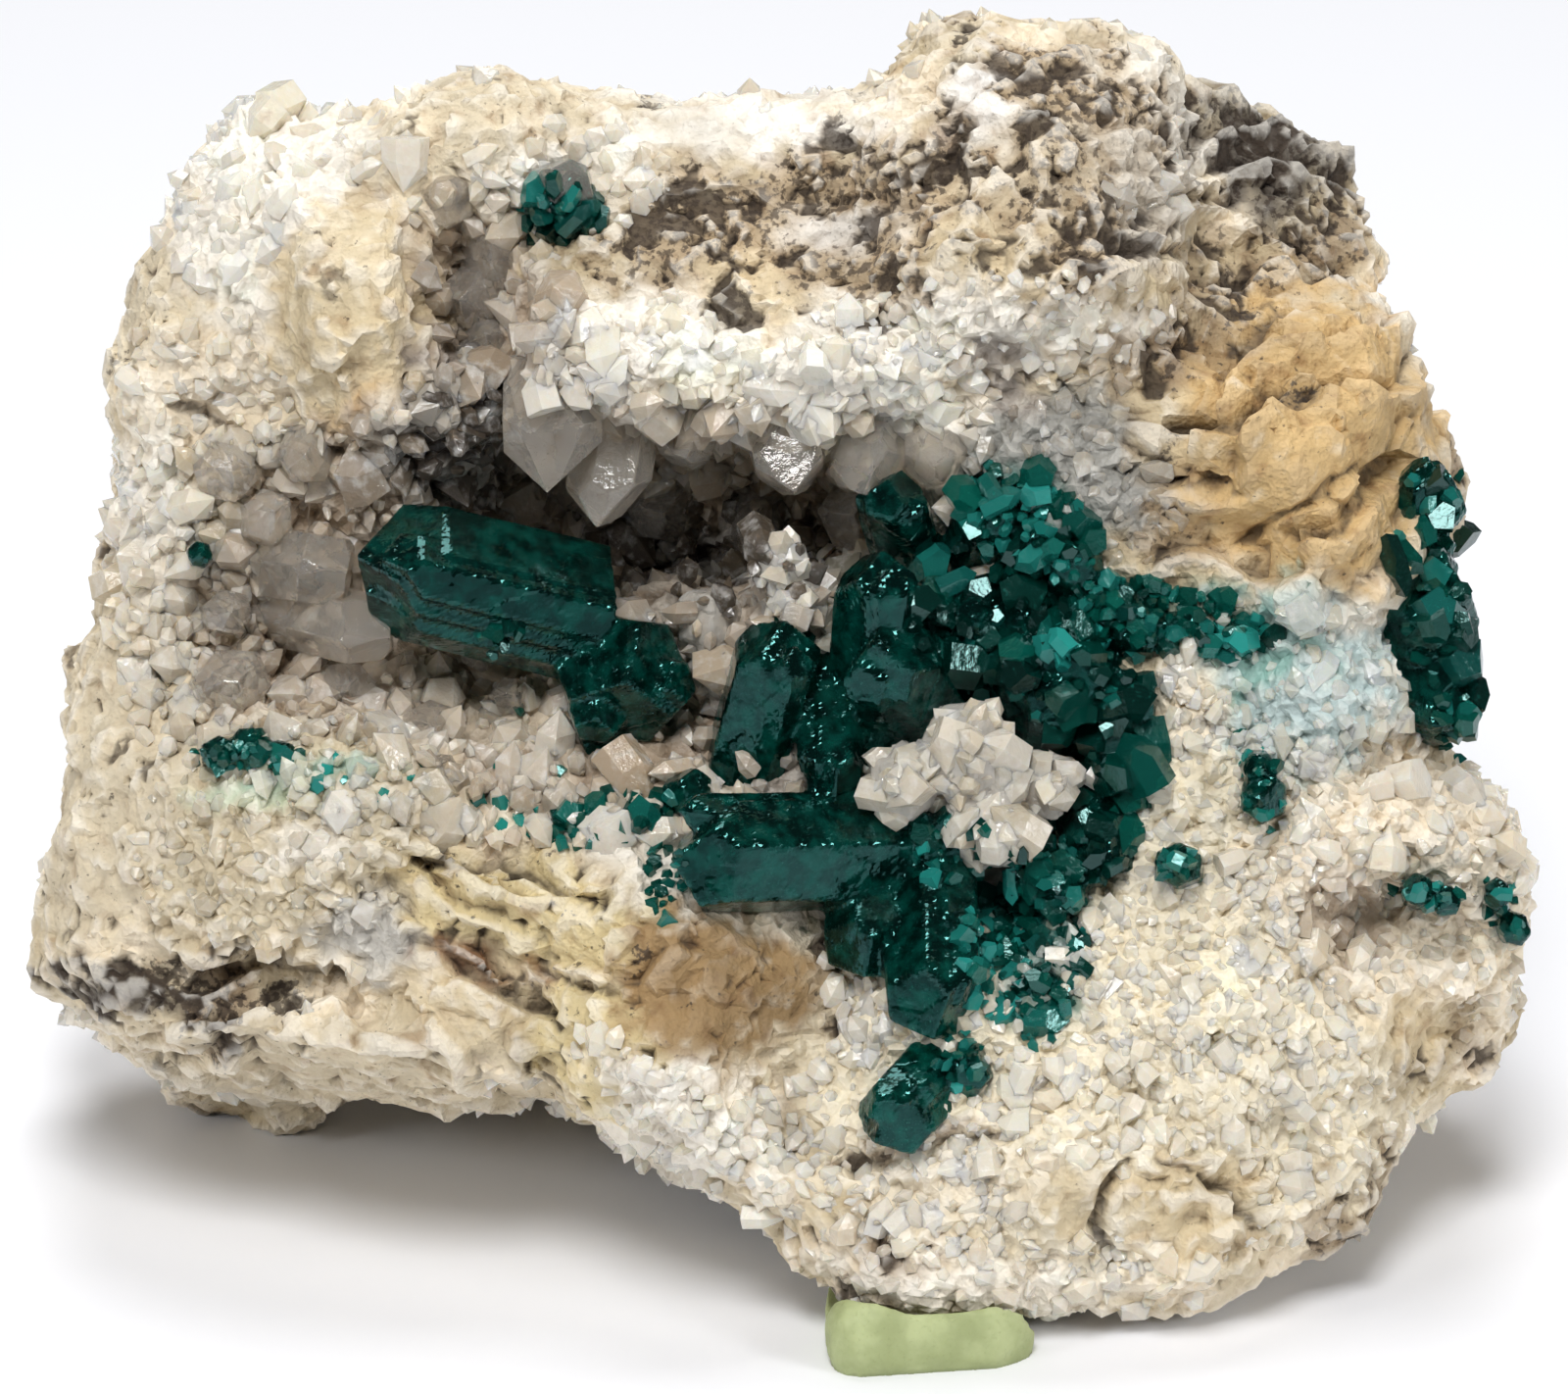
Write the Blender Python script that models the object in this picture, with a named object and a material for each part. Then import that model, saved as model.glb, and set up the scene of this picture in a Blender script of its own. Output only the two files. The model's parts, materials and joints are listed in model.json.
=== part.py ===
"""A dioptase specimen: emerald green crystals in a quartz-lined hollow of pale host rock, on a pad of putty.

Blender 4.5, metres, +Z up. The specimen faces -Y. Its front is laid out on a picture plane that leans back by
VIEW_TILT: across to the right and up, in millimetres from the middle of the plane, and deep behind it.
"""

import math
import random

import bmesh
import bpy
from mathutils import Matrix, Vector, noise

MM = 0.001

# The picture plane: how it leans, how far away the eye is, and where its middle stands.
VIEW_TILT = math.radians(22)
VIEW_DISTANCE = 400.0
PLANE_MIDDLE = Vector((0.35, -15.4, 32.0))
RIGHT = Vector((1, 0, 0))
UP = Vector((0, math.sin(VIEW_TILT), math.cos(VIEW_TILT)))
AWAY = Vector((0, math.cos(VIEW_TILT), -math.sin(VIEW_TILT)))

# Triangles that the rock keeps, and those of the shapes that fit its neighbours to it.
ROCK_TRIANGLES = 3720
ROCK_ROOM_TRIANGLES = 1900
LINING_TRIANGLES = 1600
CRYSTAL_ROOM_TRIANGLES = 90
# How far neighbours stay from the rock and from each other, before the facets take some of it up.
ROCK_GAP = 0.9
CRYSTAL_GAP = 0.5

# The outline of the whole rock as seen from the front, (across, up), going round clockwise from the left tip.
OUTLINE = [
    (-38.8, -14.0), (-37.8, -9.5), (-36.5, -1.5), (-35.3, 3.0), (-34.0, 7.5), (-33.8, 10.5), (-34.6, 14.0),
    (-34.6, 17.0), (-33.5, 21.5), (-31.2, 24.5), (-30.0, 28.0), (-26.5, 30.3), (-21.5, 29.5), (-19.0, 31.0),
    (-15.0, 32.2), (-11.5, 31.0), (-5.0, 30.5), (1.5, 30.6), (5.0, 31.5), (7.0, 33.0), (8.1, 35.0),
    (11.5, 34.3), (15.5, 34.2), (18.0, 33.8), (20.0, 31.8), (25.0, 30.0), (27.5, 28.0), (28.8, 25.5),
    (30.0, 23.0), (32.0, 19.5), (32.5, 15.5), (33.2, 12.0), (32.6, 7.5), (32.0, 2.5), (33.0, -1.5),
    (35.0, -3.0), (37.0, -6.0), (38.2, -9.0), (38.1, -12.5), (36.8, -19.5), (33.5, -21.0), (31.2, -21.6),
    (30.0, -27.0), (24.5, -30.0), (16.0, -32.2), (12.0, -32.7), (2.5, -32.2), (1.0, -29.5), (-2.5, -25.5),
    (-8.0, -22.5), (-10.5, -21.0), (-12.5, -19.8), (-20.0, -20.2), (-24.5, -21.2), (-27.0, -21.9),
    (-29.3, -22.9), (-31.5, -22.2), (-32.5, -20.5), (-35.0, -18.5), (-37.2, -16.0),
]
# How the rock narrows from front to back: (deep, share of the outline).
SECTIONS = [(-12, 0.98), (-2, 1.0), (9, 1.0), (20, 0.985), (27, 0.95), (33, 0.84), (37, 0.62)]
OUTLINE_MIDDLE = (-1.0, -3.0)

# Lumps that stand out of the front: across, up, half widths, turn in degrees, and rise towards the viewer.
RISES = {
    "tan boss": (-22.5, 19.5, 4.8, 6.2, 0, 3.4),
    "upper left druse": (-27.0, 26.0, 6.0, 5.0, 0, 2.2),
    "left shoulder": (-31.5, 17.0, 3.5, 4.5, 10, 1.6),
    "top ridge": (-15.0, 29.0, 6.5, 3.4, 15, 2.8),
    "lip": (-3.0, 16.2, 13.5, 4.8, 3, 2.6),
    "lip corner": (-11.5, 18.0, 3.8, 6.0, 0, 1.6),
    "peak": (11.5, 27.0, 8.2, 9.0, 0, 5.2),
    "peak foot": (9.0, 20.0, 10.5, 5.0, 5, 2.2),
    "upper right slab": (28.0, 18.5, 5.2, 2.3, 5, 2.2),
    "right slab": (26.5, 12.6, 7.2, 3.3, 14, 3.8),
    "right knob": (28.4, 6.8, 3.9, 3.8, 30, 4.2),
    "white sheet": (28.0, -0.3, 4.0, 4.0, 0, 2.8),
    "grey quartz": (15.0, 11.0, 5.5, 5.0, 0, 1.2),
    "front slab": (-9.5, -10.6, 9.2, 3.0, -10, 2.8),
    "front boss": (-6.5, -16.5, 6.2, 5.6, 0, 4.2),
    "boss foot": (-4.0, -21.8, 5.0, 3.0, -35, 2.6),
    "left slab": (-27.5, -6.6, 10.5, 6.4, 12, 3.2),
    "lower mass": (14.0, -19.0, 12.5, 8.5, 0, 3.6),
    "chin": (7.5, -27.0, 9.0, 5.5, 0, 2.2),
    "low knob": (20.5, -26.0, 4.4, 3.9, 0, 2.3),
    "low knob left": (14.6, -25.4, 2.7, 3.3, 0, 1.8),
    "right mass": (31.0, -7.4, 8.0, 4.6, 0, 2.6),
    "right mass foot": (26.5, -15.0, 6.5, 6.5, 0, 2.0),
}
# Hollows: across, up, half widths, turn in degrees, depth, and the share of the half width that is wall.
HOLLOWS = {
    "main hollow": (-5.0, 9.6, 15.5, 5.8, -3, 12.0, 0.40),
    "left bowl": (-19.5, 5.0, 13.5, 11.0, 0, 6.5, 0.90),
    "hollow floor": (-9.0, 1.5, 14.0, 9.5, 0, 6.0, 0.90),
    "alcove": (-15.2, 19.6, 4.0, 6.6, 14, 4.5, 0.50),
    "basin": (9.0, -3.5, 10.0, 13.5, -12, 2.4, 0.50),
    "right pocket": (30.0, -11.5, 5.2, 3.2, 10, 3.6, 0.70),
    "under the sheet": (32.0, -3.8, 5.0, 1.5, 0, 4.5, 0.50),
    "slab crevice": (-14.0, -13.7, 6.0, 1.0, -30, 3.0, 0.70),
    "left ledge": (-25.0, -14.6, 9.0, 2.2, -8, 3.0, 0.60),
}
# The lower left edge, past which the flank runs back to the foot: (across, up).
FLANK_EDGE = [(-40.0, -13.6), (-32.0, -17.0), (-23.0, -18.4), (-12.0, -19.4)]
FLANK_SLOPE = 5.5
# The shoulder behind the peak at the top right stands back from the front.
SHOULDER_ACROSS, SHOULDER_UP, SHOULDER_DEPTH = 19.6, 15.5, 9.0
EDGE_ROUNDING = 2.6
# How far the rims of lumps and hollows stray from true ovals, and over what length.
WANDER, WANDER_LENGTH = 1.7, 6.5

# The underside: a low arch that comes down at these places, as (x, y, half width, height above the table).
# The two feet are carried well below the table, which then cuts them off flat.
ARCH_HEIGHT = 3.4
FEET = {
    "left foot": (-28.5, 3.5, 5.5, -5.0),
    "rear foot": (14.0, 15.0, 7.0, -5.0),
    "above the putty": (8.5, -24.0, 8.0, 1.5),
    "chin": (17.0, -22.0, 14.0, 1.2),
}

# The swells low down that carry the two feet: their middles and half sizes.
HEELS = {
    "rear heel": ((14.0, 12.0, 9.0), (15.0, 13.0, 13.0)),
    "left heel": ((-28.5, 4.0, 6.5), (6.5, 7.5, 9.0)),
}

# The slope of a dioptase crystal's three end faces, from square to its length.
RHOMB_SLANT = math.radians(50)

# Crystals, each as root, tip, half width over the corners, and roll in degrees.
# Root and tip are (across, up, deep).
DIOPTASE_PAIR = [
    ((-9.8, 4.6, 5.6), (-22.2, 7.6, 0.2), 3.70, 62),
    ((-8.4, 1.2, 13.0), (-8.0, 0.8, -0.4), 3.50, 20),
    ((-7.0, -3.0, 8.0), (-10.4, -2.2, 3.6), 1.20, 0),
]
DIOPTASE_CLUSTER = [
    ((-2.4, -5.6, 5.5), (0.2, 4.2, 0.2), 2.70, 0),
    ((4.0, -5.0, 6.0), (4.9, 7.9, -0.6), 2.45, 12),
    ((8.0, -2.0, 6.0), (4.6, 3.2, -2.2), 2.60, 40),
    ((2.3, 4.5, 6.0), (2.5, -5.4, -0.8), 1.75, 25),
    ((7.0, -8.0, 3.0), (-6.2, -8.2, -3.2), 3.15, 0),
    ((5.0, -6.5, 5.0), (4.0, -14.6, -1.6), 2.30, 15),
    ((7.2, -6.0, 5.0), (7.8, -17.8, -3.4), 2.95, 8),
    ((7.6, -9.5, 5.0), (8.4, -5.8, -1.4), 1.90, 30),
    ((6.6, 6.5, 6.0), (5.2, 11.4, -0.2), 1.90, 20),
    ((9.4, 0.5, 6.0), (8.8, 6.4, 0.8), 2.60, 35),
    ((12.2, 0.5, 6.5), (11.4, 6.8, 0.6), 2.40, 0),
    ((13.6, -2.0, 6.5), (14.4, 3.2, -1.4), 3.05, 10),
    ((16.4, -2.4, 6.0), (17.4, 1.4, -1.0), 2.20, 50),
    ((15.6, -4.4, 6.0), (18.4, -3.0, -0.8), 2.20, 5),
    ((15.4, -5.4, 6.0), (16.8, -8.6, -0.8), 2.10, 25),
    ((14.4, -11.0, 6.0), (13.0, -8.8, -1.4), 2.10, 15),
    ((11.2, -16.5, 4.5), (10.6, -11.8, -0.8), 1.80, 0),
    ((13.0, -18.0, 3.5), (13.2, -13.4, -2.2), 2.20, 35),
    ((10.0, 7.2, 5.5), (10.8, 10.8, -0.6), 2.00, 10),
    ((12.4, 6.0, 5.0), (13.2, 9.0, -0.8), 1.90, 40),
    ((14.6, 5.0, 4.5), (15.2, 7.8, -0.8), 1.60, 0),
    ((15.4, 3.4, 4.5), (16.2, 5.4, -0.4), 2.00, 20),
    ((17.8, 2.8, 4.5), (18.2, 4.8, -0.4), 1.80, 30),
    ((20.0, 2.2, 4.5), (20.8, 4.3, -0.2), 1.70, 0),
    ((22.0, 1.8, 4.5), (23.2, 3.4, 0.2), 1.40, 45),
    ((-4.0, -6.0, 4.5), (-5.4, -4.2, -0.2), 1.50, 10),
    ((-5.8, -7.2, 4.5), (-7.6, -6.6, -0.4), 1.40, 35),
    ((-7.6, -7.2, 4.5), (-9.8, -7.2, -0.4), 1.35, 0),
]
DIOPTASE_LOWER = [
    ((9.6, -17.2, 2.0), (4.4, -23.0, -3.8), 2.25, 20),
    ((8.4, -20.6, 1.0), (10.0, -18.2, -3.4), 1.30, 0),
]
DIOPTASE_EDGE = [
    ((30.5, 8.0, 9.0), (34.2, 11.4, 3.8), 1.90, 0),
    ((30.5, 6.0, 9.0), (34.0, 7.2, 4.4), 1.80, 30),
    ((30.0, 4.0, 9.0), (35.6, 5.2, 3.8), 3.10, 15),
    ((30.0, 2.0, 9.0), (34.9, 1.0, 4.2), 2.60, 40),
    ((31.0, 0.4, 9.0), (35.2, -1.6, 4.6), 1.90, 10),
]
DIOPTASE_UPPER = [((-9.8, 24.4, 7.0), (-12.0, 25.2, 0.4), 1.90, 15)]
# Small crystals that sit alone on the quartz, by name.
DIOPTASE_CHIPS = {
    "dioptase_chip_middle": [((20.4, -9.0, 3.5), (20.0, -8.4, -1.8), 1.30, 0)],
    "dioptase_chip_branch": [
        ((24.6, -5.4, 4.5), (24.4, -5.0, -1.8), 1.30, 0),
        ((23.8, -3.2, 4.5), (24.4, -3.8, -1.4), 1.00, 30),
    ],
    "dioptase_chip_right": [
        ((32.2, -10.0, 6.5), (32.4, -9.8, 0.4), 1.00, 10),
        ((33.4, -10.3, 6.5), (33.8, -10.4, 0.6), 0.90, 40),
    ],
    "dioptase_chip_far_right": [
        ((36.2, -10.2, 7.5), (36.4, -10.0, 2.2), 0.90, 0),
        ((37.0, -11.8, 7.5), (37.4, -11.8, 3.0), 0.95, 20),
    ],
    "dioptase_chip_left": [((-29.8, 7.2, 8.0), (-29.8, 7.3, 1.4), 0.80, 15)],
    "dioptase_chip_ledge": [
        ((-28.8, -3.0, 6.0), (-28.8, -2.8, 0.6), 1.00, 0),
        ((-27.2, -2.8, 6.0), (-27.2, -2.6, 0.4), 1.20, 30),
        ((-25.6, -3.2, 6.0), (-25.6, -3.2, 0.6), 1.00, 10),
    ],
}
QUARTZ_KNOB = [
    ((6.6, -4.4, 4.0), (6.0, -4.2, -3.2), 2.50, 10),
    ((9.6, -3.6, 4.5), (9.4, -2.0, -4.0), 2.90, 35),
    ((11.4, -4.4, 4.5), (14.6, -4.6, -2.2), 2.20, 0),
    ((9.8, -5.2, 4.5), (10.8, -7.2, -3.6), 2.40, 20),
    ((9.8, -6.6, 4.5), (12.0, -7.8, -2.6), 1.50, 45),
]
QUARTZ_PERCH = [
    ((-0.2, 4.8, 7.0), (-0.4, 8.2, 0.4), 1.80, 10),
    ((-0.8, 4.4, 7.0), (1.6, 4.8, 0.6), 1.60, 30),
    ((-3.8, 2.6, 8.0), (-3.8, 5.2, 2.6), 2.00, 0),
    ((-4.0, 1.4, 8.0), (-2.2, 1.4, 2.2), 1.80, 25),
]
# The larger quartz crystals of the hollow and its lip.
QUARTZ_POINTS = [
    ((-13.6, 22.2, 7.0), (-15.0, 23.4, 1.6), 2.60, 0),
    ((-14.8, 20.4, 7.0), (-16.8, 20.4, 2.4), 1.80, 30),
    ((-14.6, 17.8, 7.0), (-15.2, 18.4, 2.4), 1.90, 10),
    ((-11.0, 24.5, 5.0), (-12.0, 27.0, -0.2), 2.00, 20),
    ((-17.0, 25.0, 5.0), (-17.4, 25.6, 0.4), 1.60, 0),
    ((-11.6, 16.4, 4.0), (-11.9, 10.2, 0.4), 2.90, 0),
    ((-8.4, 14.4, 5.0), (-9.4, 8.2, 2.2), 2.30, 15),
    ((-5.0, 14.2, 6.0), (-5.0, 12.0, 2.0), 1.90, 30),
    ((-0.2, 14.2, 5.0), (0.6, 10.2, 0.6), 2.30, 10),
    ((4.6, 14.0, 5.0), (4.0, 10.2, 0.2), 2.30, 40),
    ((7.8, 13.6, 5.0), (7.8, 11.4, -0.4), 1.80, 0),
    ((-26.6, 7.0, 9.0), (-22.0, 6.2, 1.6), 2.10, 10),
    ((-26.0, 4.6, 9.0), (-19.8, 3.0, 1.6), 2.20, 30),
    ((-27.4, 8.8, 9.0), (-25.8, 9.4, 3.0), 1.50, 0),
    ((-28.6, 0.6, 9.0), (-27.8, 0.8, 2.4), 2.10, 20),
    ((-18.2, -2.2, 9.0), (-17.8, -1.4, 2.6), 1.90, 0),
    ((-18.0, -4.4, 6.0), (-17.6, -4.2, 0.2), 1.50, 25),
    ((-28.8, 4.2, 9.0), (-28.2, 4.4, 3.6), 1.30, 10),
    ((-24.6, 12.4, 8.0), (-24.2, 12.4, 1.8), 1.80, 30),
    ((-28.6, 11.6, 8.0), (-28.4, 11.4, 2.8), 1.70, 15),
    ((-15.6, 2.6, 12.0), (-15.4, 2.4, 5.6), 1.30, 0),
    ((-14.2, 0.2, 12.0), (-13.8, 0.0, 4.8), 1.30, 20),
    ((-22.4, 0.6, 11.0), (-22.2, 0.4, 4.2), 1.70, 40),
    ((-20.8, 11.8, 10.0), (-20.2, 11.8, 3.2), 1.70, 10),
    ((-12.6, -3.4, 10.0), (-12.2, -3.0, 3.4), 1.60, 30),
    ((-9.0, -4.8, 8.0), (-8.6, -4.4, 1.8), 1.50, 0),
    ((-6.4, 9.6, 20.0), (-6.0, 9.6, 11.0), 2.20, 15),
    ((-1.4, 9.4, 20.0), (-1.2, 9.0, 11.0), 2.20, 35),
    ((-10.4, 11.4, 20.0), (-10.2, 11.0, 11.0), 2.00, 5),
    ((3.6, 9.2, 17.0), (3.4, 9.2, 8.5), 1.90, 25),
]
# The crust: the hollows that it lines, how far it spreads past their rims, the bed that the rock leaves
# for it, and how far its skin stands off the rock.
CRUSTED_HOLLOWS = ("main hollow", "left bowl", "hollow floor", "alcove")
CRUST_SPREAD = 1.02
CRUST_BED = 1.3
LINING_THICKNESS = 1.9
# The small crystals between the large ones: how many are tried, how close they stand, their half widths
# and how far they rise.
DRUSE_TRIES = 900
DRUSE_SPACING = 3.3
DRUSE_HALF_WIDTHS = (1.2, 2.0)
DRUSE_RISES = (3.2, 4.8)
DRUSE_SPREAD = 1.04

# The pad of putty that props the front foot.
PUTTY_SIZE = (10.8, 8.4, 5.0)
PUTTY_MIDDLE = (7.8, -24.6, 1.4)

# Colour, roughness and metallic value of each material.
MATERIALS = {
    "host_rock": ((0.72, 0.60, 0.44), 0.85),
    "quartz": ((0.80, 0.75, 0.70), 0.25),
    "dioptase": ((0.00, 0.22, 0.17), 0.12),
    "putty": ((0.52, 0.60, 0.38), 0.60),
}


def spot(across, up, deep):
    """The point, in millimetres, that shows at (across, up) on the picture plane and lies deep behind it."""
    spread = 1 + deep / VIEW_DISTANCE
    return PLANE_MIDDLE + RIGHT * (across * spread) + UP * (up * spread) + AWAY * deep


# The lie of the front.


def wander(across, up):
    """How far the rims of lumps and hollows stray here, so that none is a clean oval."""
    return noise.noise_vector(Vector((across, up, 0)) / WANDER_LENGTH) * WANDER


def inside_share(across, up, row):
    """How far out of an oval a place lies: 0 in its middle, 1 on its rim."""
    middle_across, middle_up, half_across, half_up, turn = row[:5]
    angle = math.radians(turn)
    stray = wander(across, up)
    x, y = across + stray.x - middle_across, up + stray.y - middle_up
    along = x * math.cos(angle) + y * math.sin(angle)
    over = -x * math.sin(angle) + y * math.cos(angle)
    return math.hypot(along / half_across, over / half_up)


def edge_distance(across, up):
    """How far a place lies from the outline."""
    place = Vector((across, up))
    nearest = 1e9
    for a, b in zip(OUTLINE, OUTLINE[1:] + OUTLINE[:1]):
        start, run = Vector(a), Vector(b) - Vector(a)
        share = max(0.0, min(1.0, (place - start).dot(run) / run.length_squared))
        nearest = min(nearest, (place - start - run * share).length)
    return nearest


def smooth(value):
    """A soft step from 0 to 1."""
    value = max(0.0, min(1.0, value))
    return value * value * (3 - 2 * value)


def flank_edge(across):
    """The height of the lower left edge at this place across."""
    for (a, low), (b, high) in zip(FLANK_EDGE, FLANK_EDGE[1:]):
        if across <= b:
            return low + (high - low) * (across - a) / (b - a)
    return -1e3


def front_depth(across, up):
    """How deep the front of the rock lies at this place."""
    deep = 1.2
    deep += 0.42 * max(0.0, -20 - across) + 0.34 * max(0.0, across - 22) + 0.45 * max(0.0, up - 22)
    deep += SHOULDER_DEPTH * smooth((across - SHOULDER_ACROSS) / 1.6) * smooth((up - SHOULDER_UP) / 7)
    deep += 4.0 * smooth((across - 30.6) / 1.5) * smooth((-14.5 - up) / 3)
    below = flank_edge(across) - up
    if below > 0:
        deep += min(24.0, FLANK_SLOPE * below)
    for row in HOLLOWS.values():
        deep += row[5] * smooth((1 - inside_share(across, up, row)) / row[6])
    for row in RISES.values():
        out = inside_share(across, up, row)
        if out < 1:
            deep -= row[5] * (1 - out * out) ** 0.75
    deep += EDGE_ROUNDING * max(0.0, 1 - edge_distance(across, up) / EDGE_ROUNDING) ** 2
    inside = min(inside_share(across, up, HOLLOWS[name]) for name in CRUSTED_HOLLOWS)
    deep += CRUST_BED * smooth((CRUST_SPREAD + 0.1 - inside) / 0.1)
    return deep


# Work on meshes.


def mesh_of(bm):
    """A mesh from a bmesh, with its faces pointing out."""
    bmesh.ops.recalc_face_normals(bm, faces=bm.faces[:])
    mesh = bpy.data.meshes.new("shape")
    bm.to_mesh(mesh)
    bm.free()
    return mesh


def placed(mesh, collection=None):
    """A new object that holds this mesh."""
    obj = bpy.data.objects.new("helper", mesh)
    (collection or bpy.context.scene.collection).objects.link(obj)
    return obj


def evaluated(obj):
    """The object's mesh with its modifiers applied. The object is removed."""
    bpy.context.view_layer.update()
    graph = bpy.context.evaluated_depsgraph_get()
    mesh = bpy.data.meshes.new_from_object(obj.evaluated_get(graph), depsgraph=graph)
    bpy.data.objects.remove(obj)
    return mesh


def combined(mesh, operation, others, solver="EXACT"):
    """The mesh joined with, cut by or kept inside the other meshes."""
    helpers = bpy.data.collections.new("helpers")
    bpy.context.scene.collection.children.link(helpers)
    base = placed(mesh)
    for other in others:
        placed(other, helpers)
    modifier = base.modifiers.new("combine", "BOOLEAN")
    modifier.operation = operation
    modifier.operand_type = "COLLECTION"
    modifier.collection = helpers
    modifier.solver = solver
    result = evaluated(base)
    for helper in list(helpers.objects):
        bpy.data.objects.remove(helper)
    bpy.data.collections.remove(helpers)
    return result


def remeshed(mesh, voxel):
    """The mesh rebuilt as even facets of this size in millimetres."""
    obj = placed(mesh)
    modifier = obj.modifiers.new("remesh", "REMESH")
    modifier.mode = "VOXEL"
    modifier.voxel_size = voxel
    return evaluated(obj)


def decimated(mesh, triangles):
    """The mesh with about this many triangles."""
    obj = placed(mesh)
    obj.modifiers.new("triangles", "TRIANGULATE")
    now = sum(len(face.vertices) - 2 for face in mesh.polygons)
    modifier = obj.modifiers.new("decimate", "DECIMATE")
    modifier.ratio = min(1.0, triangles / now)
    modifier.use_collapse_triangulate = True
    return evaluated(obj)


def inflated(mesh, amount):
    """A copy of the mesh, grown by this many millimetres."""
    bm = bmesh.new()
    bm.from_mesh(mesh)
    bm.normal_update()
    grown = [vert.co + vert.normal * amount for vert in bm.verts]
    for vert, co in zip(bm.verts, grown):
        vert.co = co
    return mesh_of(bm)


def room_around(mesh, gap, voxel, triangles):
    """The space that a neighbour leaves free around the mesh, as one clean closed shape."""
    fine = remeshed(mesh, voxel)
    return decimated(remeshed(inflated(fine, gap), voxel), triangles)


def largest_piece(mesh):
    """The mesh with only its largest connected piece."""
    bm = bmesh.new()
    bm.from_mesh(mesh)
    bmesh.ops.remove_doubles(bm, verts=bm.verts[:], dist=1e-4)
    left = set(bm.faces)
    best = set()
    while left:
        start = left.pop()
        piece, todo = {start}, [start]
        while todo:
            for edge in todo.pop().edges:
                for face in edge.link_faces:
                    if face in left:
                        left.remove(face)
                        piece.add(face)
                        todo.append(face)
        if sum(face.calc_area() for face in piece) > sum(face.calc_area() for face in best):
            best = piece
    bmesh.ops.delete(bm, geom=[face for face in bm.faces if face not in best], context="FACES")
    return mesh_of(bm)


# The host rock.


def relief_block():
    """A block whose front is the lie of the rock's front, and whose back is far behind."""
    half_across, half_up, step = 43.0, 39.0, 0.9
    bm = bmesh.new()
    bmesh.ops.create_grid(
        bm,
        x_segments=round(2 * half_across / step),
        y_segments=round(2 * half_up / step),
        size=1,
    )
    back = {}
    for vert in bm.verts:
        across, up = vert.co.x * half_across, vert.co.y * half_up
        back[vert.index] = spot(across, up, 80)
        vert.co = spot(across, up, front_depth(across, up))
    return extruded_to(bm, back)


def underside_block():
    """A block whose underside is the arch between the feet."""
    half, step = 50.0, 2.0
    bm = bmesh.new()
    bmesh.ops.create_grid(bm, x_segments=round(2 * half / step), y_segments=round(2 * half / step), size=half)
    top = {}
    for vert in bm.verts:
        x, y = vert.co.x, vert.co.y
        height = ARCH_HEIGHT + 1.0 * noise.noise(Vector((x, y, 7)) * 0.12)
        for foot_x, foot_y, width, foot_height in FEET.values():
            share = smooth(1.25 - math.hypot(x - foot_x, y - foot_y) / width)
            height += (foot_height - height) * share
        top[vert.index] = Vector((x, y, 100))
        vert.co.z = height
    return extruded_to(bm, top)


def extruded_to(bm, far):
    """Closes a sheet into a block whose far side has these points, one for each of its points."""
    near = bm.verts[:]
    near_faces = bm.faces[:]
    made = bmesh.ops.extrude_face_region(bm, geom=near_faces, use_keep_orig=True)
    copies = [item for item in made["geom"] if isinstance(item, bmesh.types.BMVert)]
    lookup = {tuple(round(c, 6) for c in vert.co): vert.index for vert in near}
    for vert in copies:
        vert.co = far[lookup[tuple(round(c, 6) for c in vert.co)]]
    return mesh_of(bm)


def outline_body():
    """The rock's bulk: the outline carried back through its sections."""
    bm = bmesh.new()
    rings = []
    for deep, share in SECTIONS:
        ring = []
        for across, up in OUTLINE:
            across = OUTLINE_MIDDLE[0] + (across - OUTLINE_MIDDLE[0]) * share
            up = OUTLINE_MIDDLE[1] + (up - OUTLINE_MIDDLE[1]) * share
            ring.append(bm.verts.new(spot(across, up, deep)))
        rings.append(ring)
    count = len(OUTLINE)
    for near, far in zip(rings, rings[1:]):
        for i in range(count):
            j = (i + 1) % count
            bm.faces.new((near[i], near[j], far[j], far[i]))
    bm.faces.new(rings[0])
    bm.faces.new(rings[-1])
    return mesh_of(bm)


def heel(middle, half_size):
    """A swell that carries a foot."""
    bm = bmesh.new()
    bmesh.ops.create_icosphere(bm, subdivisions=3, radius=1)
    bmesh.ops.scale(bm, verts=bm.verts[:], vec=half_size)
    bmesh.ops.translate(bm, verts=bm.verts[:], vec=middle)
    return mesh_of(bm)


def crag(place):
    """A height from -0.5 to 0.5 that breaks into tilted flat blocks."""
    distances, cells = noise.voronoi(place)
    lean = noise.noise_vector(cells[0] * 7.3)
    return max(-0.5, min(0.5, lean.dot(place - cells[0]) * 1.5 + 0.4 * noise.noise(cells[0] * 3.1)))


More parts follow.
